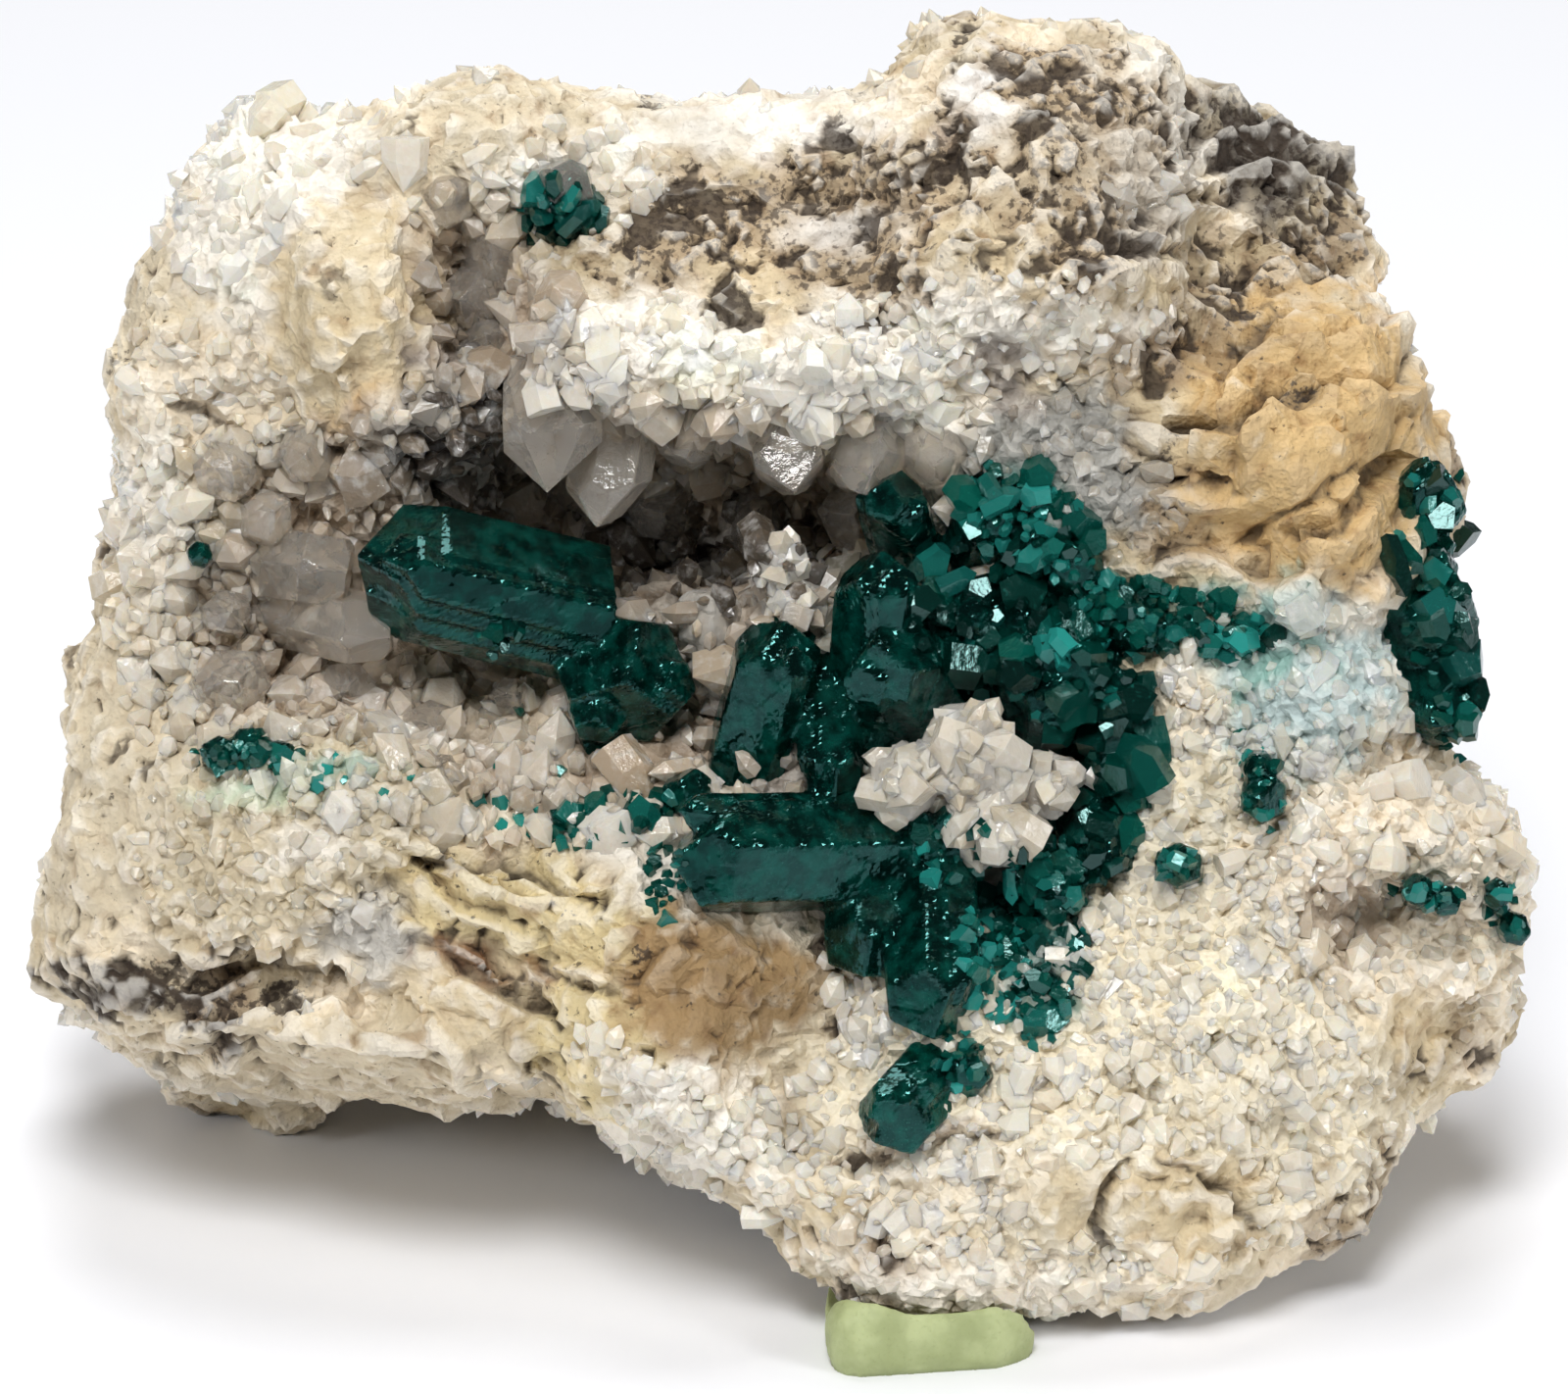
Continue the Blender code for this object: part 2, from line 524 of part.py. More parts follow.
def weathered(mesh):
    """The rock with its lumps and ledges: slight on the front, where it's laid out, and strong elsewhere."""
    bm = bmesh.new()
    bm.from_mesh(mesh)
    bm.normal_update()
    moves = []
    for vert in bm.verts:
        place = vert.co
        facing = -vert.normal.dot(AWAY)
        deep = (place - PLANE_MIDDLE).dot(AWAY)
        coarse = smooth((0.35 - facing) / 0.5) * smooth((deep - 6) / 12)
        swell = noise.fractal(place * 0.075, 1.0, 2.0, 3)
        grain = noise.fractal(place * 0.28 + Vector((9, 4, 1)), 0.9, 2.0, 3)
        blocks = crag(place * 0.11 + Vector((3, 8, 5)))
        chips = crag(place * 0.24 + Vector((1, 2, 8)))
        move = (0.3 + 0.5 * coarse) * grain + (0.8 + 0.9 * coarse) * chips
        move += coarse * (2.0 * swell + 2.6 * blocks - 0.4)
        moves.append(vert.normal * move)
    for vert, move in zip(bm.verts, moves):
        vert.co += move
    return mesh_of(bm)


def half_space():
    """Everything above the table."""
    bm = bmesh.new()
    bmesh.ops.create_cube(bm, size=200)
    bmesh.ops.translate(bm, verts=bm.verts[:], vec=(0, 0, 100))
    return mesh_of(bm)


def host_rock():
    """The fine rock, for the crust to follow, and the rock of few facets."""
    body = combined(outline_body(), "UNION", [heel(*row) for row in HEELS.values()])
    body = combined(body, "INTERSECT", [relief_block()])
    body = combined(body, "INTERSECT", [underside_block()])
    fine = weathered(remeshed(body, 0.9))
    few = decimated(fine.copy(), ROCK_TRIANGLES)
    return fine, largest_piece(combined(few, "INTERSECT", [half_space()]))


# Crystals.


def slice_off(bm, point, normal):
    """Cuts away what lies past a plane and closes the cut with a flat face."""
    bmesh.ops.bisect_plane(
        bm,
        geom=bm.verts[:] + bm.edges[:] + bm.faces[:],
        plane_co=point,
        plane_no=normal,
        clear_outer=True,
    )
    bmesh.ops.holes_fill(bm, edges=[edge for edge in bm.edges if edge.is_boundary])


def prism(row, dice):
    """A six-sided prism that stands on the origin, a little out of true, and its length."""
    root, tip, half_width, _ = row
    length = (spot(*tip) - spot(*root)).length
    bm = bmesh.new()
    bmesh.ops.create_cone(
        bm, cap_ends=True, segments=6, radius1=half_width, radius2=half_width * 0.97, depth=length
    )
    bmesh.ops.scale(bm, verts=bm.verts[:], vec=(dice.uniform(0.88, 1.12), dice.uniform(0.88, 1.12), 1))
    bmesh.ops.translate(bm, verts=bm.verts[:], vec=(0, 0, length / 2))
    return bm, length


def stood_up(bm, row):
    """The crystal's mesh, turned and moved to run from its root to its tip."""
    root, tip, _, roll = row
    start = spot(*root)
    turn = (spot(*tip) - start).to_track_quat("Z", "Y").to_matrix()
    turn = turn @ Matrix.Rotation(math.radians(roll), 3, "Z")
    bmesh.ops.transform(bm, matrix=Matrix.Translation(start) @ turn.to_4x4(), verts=bm.verts[:])
    return mesh_of(bm)


def dioptase_crystal(row, seed):
    """A prism ended by three sloping rhombohedral faces."""
    dice = random.Random(seed)
    bm, length = prism(row, dice)
    for i in range(3):
        bearing = math.tau * (i + dice.uniform(-0.04, 0.04)) / 3
        slant = RHOMB_SLANT + math.radians(dice.uniform(-4, 4))
        normal = Vector(
            (math.sin(slant) * math.cos(bearing), math.sin(slant) * math.sin(bearing), math.cos(slant))
        )
        drop = row[2] * dice.uniform(0.0, 0.22)
        slice_off(bm, Vector((0, 0, length - drop)), normal)
    return stood_up(bm, row)


def quartz_crystal(row, seed):
    """A prism ended by a pyramid whose point stands off the middle."""
    dice = random.Random(seed)
    bm, length = prism(row, dice)
    half_width = row[2]
    for vert in bm.verts:
        if vert.co.z > length / 2:
            vert.co.z -= half_width * dice.uniform(0.75, 1.15)
    bm.faces.ensure_lookup_table()
    top = max(bm.faces, key=lambda face: face.calc_center_median().z)
    point = bmesh.ops.poke(bm, faces=[top])["verts"][0]
    point.co = (half_width * dice.uniform(-0.3, 0.3), half_width * dice.uniform(-0.3, 0.3), length)
    return stood_up(bm, row)


def grown_together(rows, make, cutters, base=None):
    """One solid of crystals that overlap, cut back where it meets its neighbours."""
    parts = [make(row, 31 * i + 7) for i, row in enumerate(rows)]
    if base is not None:
        parts.insert(0, base)
    whole = parts[0]
    for other in parts[1:]:
        whole = combined(whole, "UNION", [other], "MANIFOLD")
    for cutter in cutters:
        whole = combined(whole, "DIFFERENCE", [cutter.copy()], "MANIFOLD")
    return largest_piece(whole)


def druse_points():
    """Rows for the small crystals that cover the hollow and lean out from its walls."""
    dice = random.Random(5)
    rows = []
    for _ in range(DRUSE_TRIES):
        across, up = dice.uniform(-34, 11), dice.uniform(-8, 27)
        half_width = dice.uniform(*DRUSE_HALF_WIDTHS)
        lean_across, lean_up = dice.uniform(-1.6, 1.6), dice.uniform(-1.6, 1.6)
        rise = dice.uniform(*DRUSE_RISES)
        roll = dice.uniform(0, 60)
        inside = min(inside_share(across, up, HOLLOWS[name]) for name in CRUSTED_HOLLOWS)
        near = any(math.hypot(row[0][0] - across, row[0][1] - up) < DRUSE_SPACING for row in rows)
        if inside > DRUSE_SPREAD or near:
            continue
        deep = front_depth(across, up)
        tip = (across + lean_across, up + lean_up, deep - rise)
        rows.append(((across, up, deep + 0.6), tip, half_width, roll))
    return rows


def lining(fine_rock):
    """The skin of quartz over the hollows, which follows the rock."""
    skin = decimated(remeshed(inflated(fine_rock, LINING_THICKNESS), 1.2), LINING_TRIANGLES)
    columns = []
    for name in CRUSTED_HOLLOWS:
        across, up, half_across, half_up, turn = HOLLOWS[name][:5]
        bm = bmesh.new()
        bmesh.ops.create_cone(bm, cap_ends=True, segments=20, radius1=1, radius2=1, depth=50)
        bmesh.ops.scale(bm, verts=bm.verts[:], vec=(half_across * CRUST_SPREAD, half_up * CRUST_SPREAD, 1))
        bmesh.ops.rotate(bm, verts=bm.verts[:], matrix=Matrix.Rotation(math.radians(turn), 3, "Z"))
        for vert in bm.verts:
            stray = wander(across + vert.co.x, up + vert.co.y)
            vert.co = spot(across + vert.co.x - stray.x, up + vert.co.y - stray.y, vert.co.z)
        columns.append(mesh_of(bm))
    cover = columns[0]
    for column in columns[1:]:
        cover = combined(cover, "UNION", [column])
    return combined(skin, "INTERSECT", [cover], "MANIFOLD")


# The putty.


def putty_pad(cutters):
    """A pressed pad with round edges, flat where it stands."""
    bm = bmesh.new()
    bmesh.ops.create_cube(bm, size=1)
    bmesh.ops.scale(bm, verts=bm.verts[:], vec=PUTTY_SIZE)
    bmesh.ops.bevel(
        bm, geom=bm.edges[:], offset=1.9, segments=3, profile=0.5, affect="EDGES", material=-1
    )
    for vert in bm.verts:
        taper = 1 - 0.42 * smooth((vert.co.x - 1.0) / 5.0)
        vert.co.y *= taper
        vert.co += 0.3 * noise.noise_vector(vert.co * 0.25)
    bmesh.ops.translate(bm, verts=bm.verts[:], vec=PUTTY_MIDDLE)
    slice_off(bm, Vector((0, 0, 0)), Vector((0, 0, -1)))
    return largest_piece(combined(mesh_of(bm), "DIFFERENCE", cutters))


# The whole.


def material(kind, owner):
    """A Principled material of this kind for the piece that owns it."""
    colour, roughness = MATERIALS[kind]
    made = bpy.data.materials.new(f"{kind} of {owner}")
    made.use_nodes = True
    shader = made.node_tree.nodes["Principled BSDF"]
    shader.inputs["Base Color"].default_value = (*colour, 1)
    shader.inputs["Roughness"].default_value = roughness
    shader.inputs["Metallic"].default_value = 0
    return made


def node(name, mesh, kind):
    """The finished piece, in metres."""
    mesh.transform(Matrix.Scale(MM, 4))
    mesh.materials.clear()
    mesh.materials.append(material(kind, name))
    mesh.name = name
    obj = bpy.data.objects.new(name, mesh)
    bpy.context.scene.collection.objects.link(obj)
    return obj


def build():
    """Makes every piece of the specimen."""
    for obj in list(bpy.data.objects):
        bpy.data.objects.remove(obj)
    noise.seed_set(3)

    fine, rock = host_rock()
    greens = {
        "dioptase_cluster": DIOPTASE_CLUSTER,
        "dioptase_pair": DIOPTASE_PAIR,
        "dioptase_lower_crystal": DIOPTASE_LOWER,
        "dioptase_edge_cluster": DIOPTASE_EDGE,
        "dioptase_upper_crystal": DIOPTASE_UPPER,
        **DIOPTASE_CHIPS,
    }
    taken = [room_around(rock, ROCK_GAP, 0.6, ROCK_ROOM_TRIANGLES)]
    made = {}
    for name, rows in greens.items():
        made[name] = grown_together(rows, dioptase_crystal, taken)
        triangles = CRYSTAL_ROOM_TRIANGLES * len(rows) ** 0.6
        taken.append(room_around(made[name], CRYSTAL_GAP, 0.3, triangles))
    quartz = {}
    for name, rows in {"quartz_knob": QUARTZ_KNOB, "quartz_perch": QUARTZ_PERCH}.items():
        quartz[name] = grown_together(rows, quartz_crystal, taken)
        taken.append(room_around(quartz[name], CRYSTAL_GAP, 0.3, CRYSTAL_ROOM_TRIANGLES))
    quartz["quartz_crust"] = grown_together(
        QUARTZ_POINTS + druse_points(), quartz_crystal, taken, base=lining(fine)
    )
    putty = putty_pad([taken[0].copy()])

    node("host_rock", rock, "host_rock")
    for name, mesh in made.items():
        node(name, mesh, "dioptase")
    for name, mesh in quartz.items():
        node(name, mesh, "quartz")
    node("putty_pad", putty, "putty")


build()
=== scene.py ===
# The looks of a dioptase specimen: host rock, quartz druse, emerald crystals and a pad of putty, on a white
# table. Shapes are worked out in millimetres on the solids' picture plane, and become metres at the end.
import json
import math
import random

import bmesh
import bpy
import numpy as np
from mathutils import Matrix, Vector, noise
from mathutils.bvhtree import BVHTree

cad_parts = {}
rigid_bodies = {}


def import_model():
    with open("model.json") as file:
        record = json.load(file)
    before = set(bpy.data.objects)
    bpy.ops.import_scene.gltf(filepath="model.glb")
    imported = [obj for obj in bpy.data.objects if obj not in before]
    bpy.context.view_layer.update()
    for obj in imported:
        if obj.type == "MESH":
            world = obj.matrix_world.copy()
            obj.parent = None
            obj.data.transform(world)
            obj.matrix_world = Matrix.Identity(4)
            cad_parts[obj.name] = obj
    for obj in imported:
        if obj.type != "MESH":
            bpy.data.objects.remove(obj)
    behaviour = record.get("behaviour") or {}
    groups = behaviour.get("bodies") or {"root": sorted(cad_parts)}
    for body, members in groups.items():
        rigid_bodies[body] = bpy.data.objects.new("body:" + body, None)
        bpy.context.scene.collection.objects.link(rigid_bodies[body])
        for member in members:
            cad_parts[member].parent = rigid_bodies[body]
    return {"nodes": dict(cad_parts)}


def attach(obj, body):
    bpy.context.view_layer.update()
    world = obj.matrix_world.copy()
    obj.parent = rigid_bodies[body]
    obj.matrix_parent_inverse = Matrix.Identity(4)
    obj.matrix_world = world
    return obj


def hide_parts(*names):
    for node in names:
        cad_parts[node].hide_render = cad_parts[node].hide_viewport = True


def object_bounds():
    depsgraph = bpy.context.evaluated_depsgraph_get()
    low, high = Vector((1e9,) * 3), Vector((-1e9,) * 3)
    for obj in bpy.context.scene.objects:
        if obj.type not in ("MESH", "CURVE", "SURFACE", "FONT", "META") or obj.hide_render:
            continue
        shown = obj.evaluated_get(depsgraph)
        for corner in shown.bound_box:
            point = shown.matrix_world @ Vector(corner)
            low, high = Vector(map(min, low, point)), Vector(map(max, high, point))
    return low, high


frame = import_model()
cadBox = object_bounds()
noise.seed_set(3)
mm = 0.001
print("frame loaded")

# The picture plane leans back with the camera: across to the right, up, and deep behind it
view = {
    "tilt": math.radians(22),
    "distance": 400.0,      # from the camera to the plane's middle
    "middle": Vector((0.35, -15.4, 32.0)),
    "lens": 180,
    "sensor": 36,
}
rightward = Vector((1, 0, 0))
upward = Vector((0, math.sin(view["tilt"]), math.cos(view["tilt"])))
away = Vector((0, math.cos(view["tilt"]), -math.sin(view["tilt"])))
eye = view["middle"] - away * view["distance"]


def spot(across, up, deep):  # the point that shows at (across, up) and lies deep behind the plane
    spread = 1 + deep / view["distance"]
    return view["middle"] + rightward * (across * spread) + upward * (up * spread) + away * deep


def lieOf(points):  # across, up and deep of many points
    offsets = points - np.array(view["middle"])
    deep = offsets @ np.array(away)
    spread = 1 + deep / view["distance"]
    return offsets @ np.array(rightward) / spread, offsets @ np.array(upward) / spread, deep


def smooth(values):  # a soft step from 0 to 1
    values = np.clip(values, 0, 1)
    return values * values * (3 - 2 * values)


def sampled(function, points, scale, shift=0.0):  # a noise function read at many points
    offset = Vector((shift, shift * 0.7, -shift))
    return np.array([function(Vector(point) * scale + offset) for point in points])


def swell(place):  # soft lumps in three sizes
    return noise.fractal(place, 1.0, 2.0, 3)


def crag(place):  # tilted flat facets, from -0.5 to 0.5
    cell = noise.voronoi(place)[1][0]
    lean = noise.noise_vector(cell * 7.3)
    return max(-0.5, min(0.5, lean.dot(place - cell) * 1.5 + 0.4 * noise.noise(cell * 3.1)))


def shareOf(across, up, zone):  # 0 in the middle of an oval zone, 1 on its rim
    angle = math.radians(zone[4])
    x, y = across - zone[0], up - zone[1]
    along = x * math.cos(angle) + y * math.sin(angle)
    over = -x * math.sin(angle) + y * math.cos(angle)
    return np.hypot(along / zone[2], over / zone[3])


def colour(code):  # a screen colour, such as d8c6ab, as linear light
    parts = np.array([int(code[i:i + 2], 16) / 255 for i in (0, 2, 4)])
    return np.where(parts < 0.04045, parts / 12.92, ((parts + 0.055) / 1.055) ** 2.4)


def rgba(code):
    return (*colour(code), 1)


# Meshes and pieces


def meshOf(bm, name="shape"):
    mesh = bpy.data.meshes.new(name)
    bm.to_mesh(mesh)
    bm.free()
    return mesh


def applied(mesh, kind, settings):  # the mesh with a modifier of this kind applied
    helper = bpy.data.objects.new("helper", mesh)
    bpy.context.scene.collection.objects.link(helper)
    modifier = helper.modifiers.new(kind.lower(), kind)
    for name, value in settings.items():
        setattr(modifier, name, value)
    bpy.context.view_layer.update()
    graph = bpy.context.evaluated_depsgraph_get()
    result = bpy.data.meshes.new_from_object(helper.evaluated_get(graph), depsgraph=graph)
    bpy.data.objects.remove(helper)
    return result


def remeshed(mesh, voxel):
    return applied(mesh, "REMESH", {"mode": "VOXEL", "voxel_size": voxel})


def solidOf(node, voxel, rounds):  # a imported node's shape in millimetres, as fine even faces, rounded off
    bm = bmesh.new()
    bm.from_mesh(frame["nodes"][node].data)
    bmesh.ops.scale(bm, verts=bm.verts[:], vec=(1 / mm, 1 / mm, 1 / mm))
    bmesh.ops.remove_doubles(bm, verts=bm.verts[:], dist=0.002)
    mesh = remeshed(meshOf(bm), voxel)
    bm = bmesh.new()
    bm.from_mesh(mesh)
    axes = {"use_axis_x": True, "use_axis_y": True, "use_axis_z": True}
    for _ in range(rounds):
        bmesh.ops.smooth_vert(bm, verts=bm.verts[:], factor=0.5, **axes)
    return meshOf(bm)


def insideBox(mesh):  # keeps every point within the solids' box
    low, high = (np.array(corner) / mm for corner in cadBox)
    placePoints(mesh, np.clip(pointsOf(mesh), low + 0.01, high - 0.01))


def pointsOf(mesh):
    points = np.empty(len(mesh.vertices) * 3)
    mesh.vertices.foreach_get("co", points)
    return points.reshape(-1, 3)


def placePoints(mesh, points):
    mesh.vertices.foreach_set("co", points.ravel())


def normalsOf(mesh):
    normals = np.empty(len(mesh.vertices) * 3)
    mesh.vertices.foreach_get("normal", normals)
    return normals.reshape(-1, 3)


def piece(name, mesh, finish, slotName, *nodes):  # a finished piece, in metres, in place of these nodes
    insideBox(mesh)
    mesh.transform(Matrix.Scale(mm, 4))
    mesh.materials.clear()
    mesh.materials.append(finish)
    obj = bpy.data.objects.new(name, mesh)
    mesh.name = name
    bpy.context.scene.collection.objects.link(obj)
    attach(obj, "root")
    if nodes:
        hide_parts(*nodes)
    print(name, len(mesh.polygons), "faces")


def setValues(mesh, name, values):  # stores one number for each point
    attribute = mesh.attributes.new(name, "FLOAT", "POINT")
    attribute.data.foreach_set("value", values.astype(np.float32))


def setTones(mesh, tones):  # stores one colour for each point
    attribute = mesh.attributes.new("tone", "FLOAT_COLOR", "POINT")
    full = np.column_stack([tones, np.ones(len(tones))])
    attribute.data.foreach_set("color", full.astype(np.float32).ravel())


# Shader maths


class Wire:  # one output of a node
    def __init__(self, finish, socket):
        self.finish = finish
        self.socket = socket

    def maths(self, operation, first, second):
        return self.finish.add("Math", {"operation": operation, "use_clamp": False}, {0: first, 1: second})

    def __add__(self, other):
        return self.maths("ADD", self, other)

    def __sub__(self, other):
        return self.maths("SUBTRACT", self, other)

    def __rsub__(self, other):
        return self.maths("SUBTRACT", other, self)

    def __mul__(self, other):
        return self.maths("MULTIPLY", self, other)

    __radd__ = __add__
    __rmul__ = __mul__


class Finish:  # a material, and the one way to put a node in it
    def __init__(self, name):
        self.material = bpy.data.materials.new(name)
        self.material.use_nodes = True
        self.tree = self.material.node_tree
        self.shader = self.tree.nodes["Principled BSDF"]
        self.place = self.add("TexCoord", {}, {}, "Object")

    def join(self, target, value):
        if isinstance(value, Wire):
            self.tree.links.new(value.socket, target)
        else:
            target.default_value = value

    def add(self, kind, settings, inputs, out=0):
        made = self.tree.nodes.new("ShaderNode" + kind)
        for name, value in settings.items():
            setattr(made, name, value)
        for key, value in inputs.items():
            self.join(made.inputs[key], value)
        return Wire(self, made.outputs[out])

    def surface(self, values):
        for key, value in values.items():
            self.join(self.shader.inputs[key], value)

    def cloud(self, size, detail=3.0, roughness=0.55):  # noise with features of this size in millimetres
        inputs = {"Vector": self.place, "Scale": 1 / (size * mm), "Detail": detail, "Roughness": roughness}
        return self.add("TexNoise", {}, inputs)

    def cells(self, size):  # 0 in the middle of each cell of this size
        inputs = {"Vector": self.place, "Scale": 1 / (size * mm)}
        return self.add("TexVoronoi", {"feature": "F1"}, inputs, "Distance")

    def read(self, name, out="Fac"):
        return self.add("Attribute", {"attribute_name": name}, {}, out)

    def step(self, value, low, high):  # 0 below low, 1 above high
        inputs = {"Value": value, "From Min": low, "From Max": high}
        return self.add("MapRange", {"interpolation_type": "SMOOTHSTEP"}, inputs)

    def blend(self, first, second, share, mode="MIX"):  # two colours
        settings = {"data_type": "RGBA", "blend_type": mode}
        return self.add("Mix", settings, {0: share, 6: first, 7: second}, 2)

    def bump(self, height, strength, distance, under=None):
        inputs = {"Height": height, "Strength": strength, "Distance": distance * mm}
        if under is not None:
            inputs["Normal"] = under
        return self.add("Bump", {}, inputs, "Normal")

    def absorb(self, code, density):  # a clear body that takes up light as it passes
        made = self.add("VolumeAbsorption", {}, {"Color": rgba(code), "Density": density})
        self.join(self.tree.nodes["Material Output"].inputs["Volume"], made)


# The rock. Each kind of ground: colour, share of sugary quartz, of dark specks and of waxy gloss

grounds = {
    "cream": ("e2d3b6", 0.1, 0.22, 0.0),
    "sand": ("dcc9a4", 0.1, 0.14, 0.0),
    "butter": ("e3d0a0", 0.0, 0.30, 0.1),
    "caramel": ("a5875c", 0.0, 0.20, 0.5),
    "honey": ("d3b27c", 0.0, 0.18, 0.6),
    "ochre": ("c3975a", 0.0, 0.20, 0.4),
    "frost": ("f4f2ee", 0.5, 0.0, 0.0),
    "milky": ("f2ebde", 1.0, 0.03, 0.1),
    "warm quartz": ("eadcc4", 1.0, 0.08, 0.1),
    "yellow quartz": ("ebe0c6", 1.0, 0.05, 0.1),
    "grey quartz": ("bdb8ae", 1.0, 0.10, 0.3),
    # painted shade: grey-brown quartz darkened where it lies in shade, as in the basin under the dioptase
    # and in the alcove
    "shaded quartz": ("8f857b", 0.8, 0.10, 0.4),
    "hollow": ("a8957f", 1.0, 0.05, 0.2),
    # painted shade: the dark brown where the hollow lies in the lip's shadow
    "hollow shade": ("30271f", 1.0, 0.05, 0.3),
    "slab quartz": ("cabc9f", 1.0, 0.10, 0.1),
    "lilac quartz": ("929089", 1.0, 0.15, 0.3),
    "ice": ("bccdcb", 1.0, 0.0, 0.3),
    "mottled": ("bea888", 0.1, 0.80, 0.0),
    "brown": ("8a7358", 0.0, 0.75, 0.0),
    "slate": ("5d564f", 0.0, 0.80, 0.0),
    "soot": ("3c3733", 0.0, 0.90, 0.0),
    "rust": ("8d5a30", 0.0, 0.55, 0.0),
    "green quartz": ("cdd6bb", 1.0, 0.03, 0.1),
    "teal quartz": ("8fb9ae", 1.0, 0.0, 0.2),
    "deep teal": ("2f6a62", 0.8, 0.0, 0.3),
}
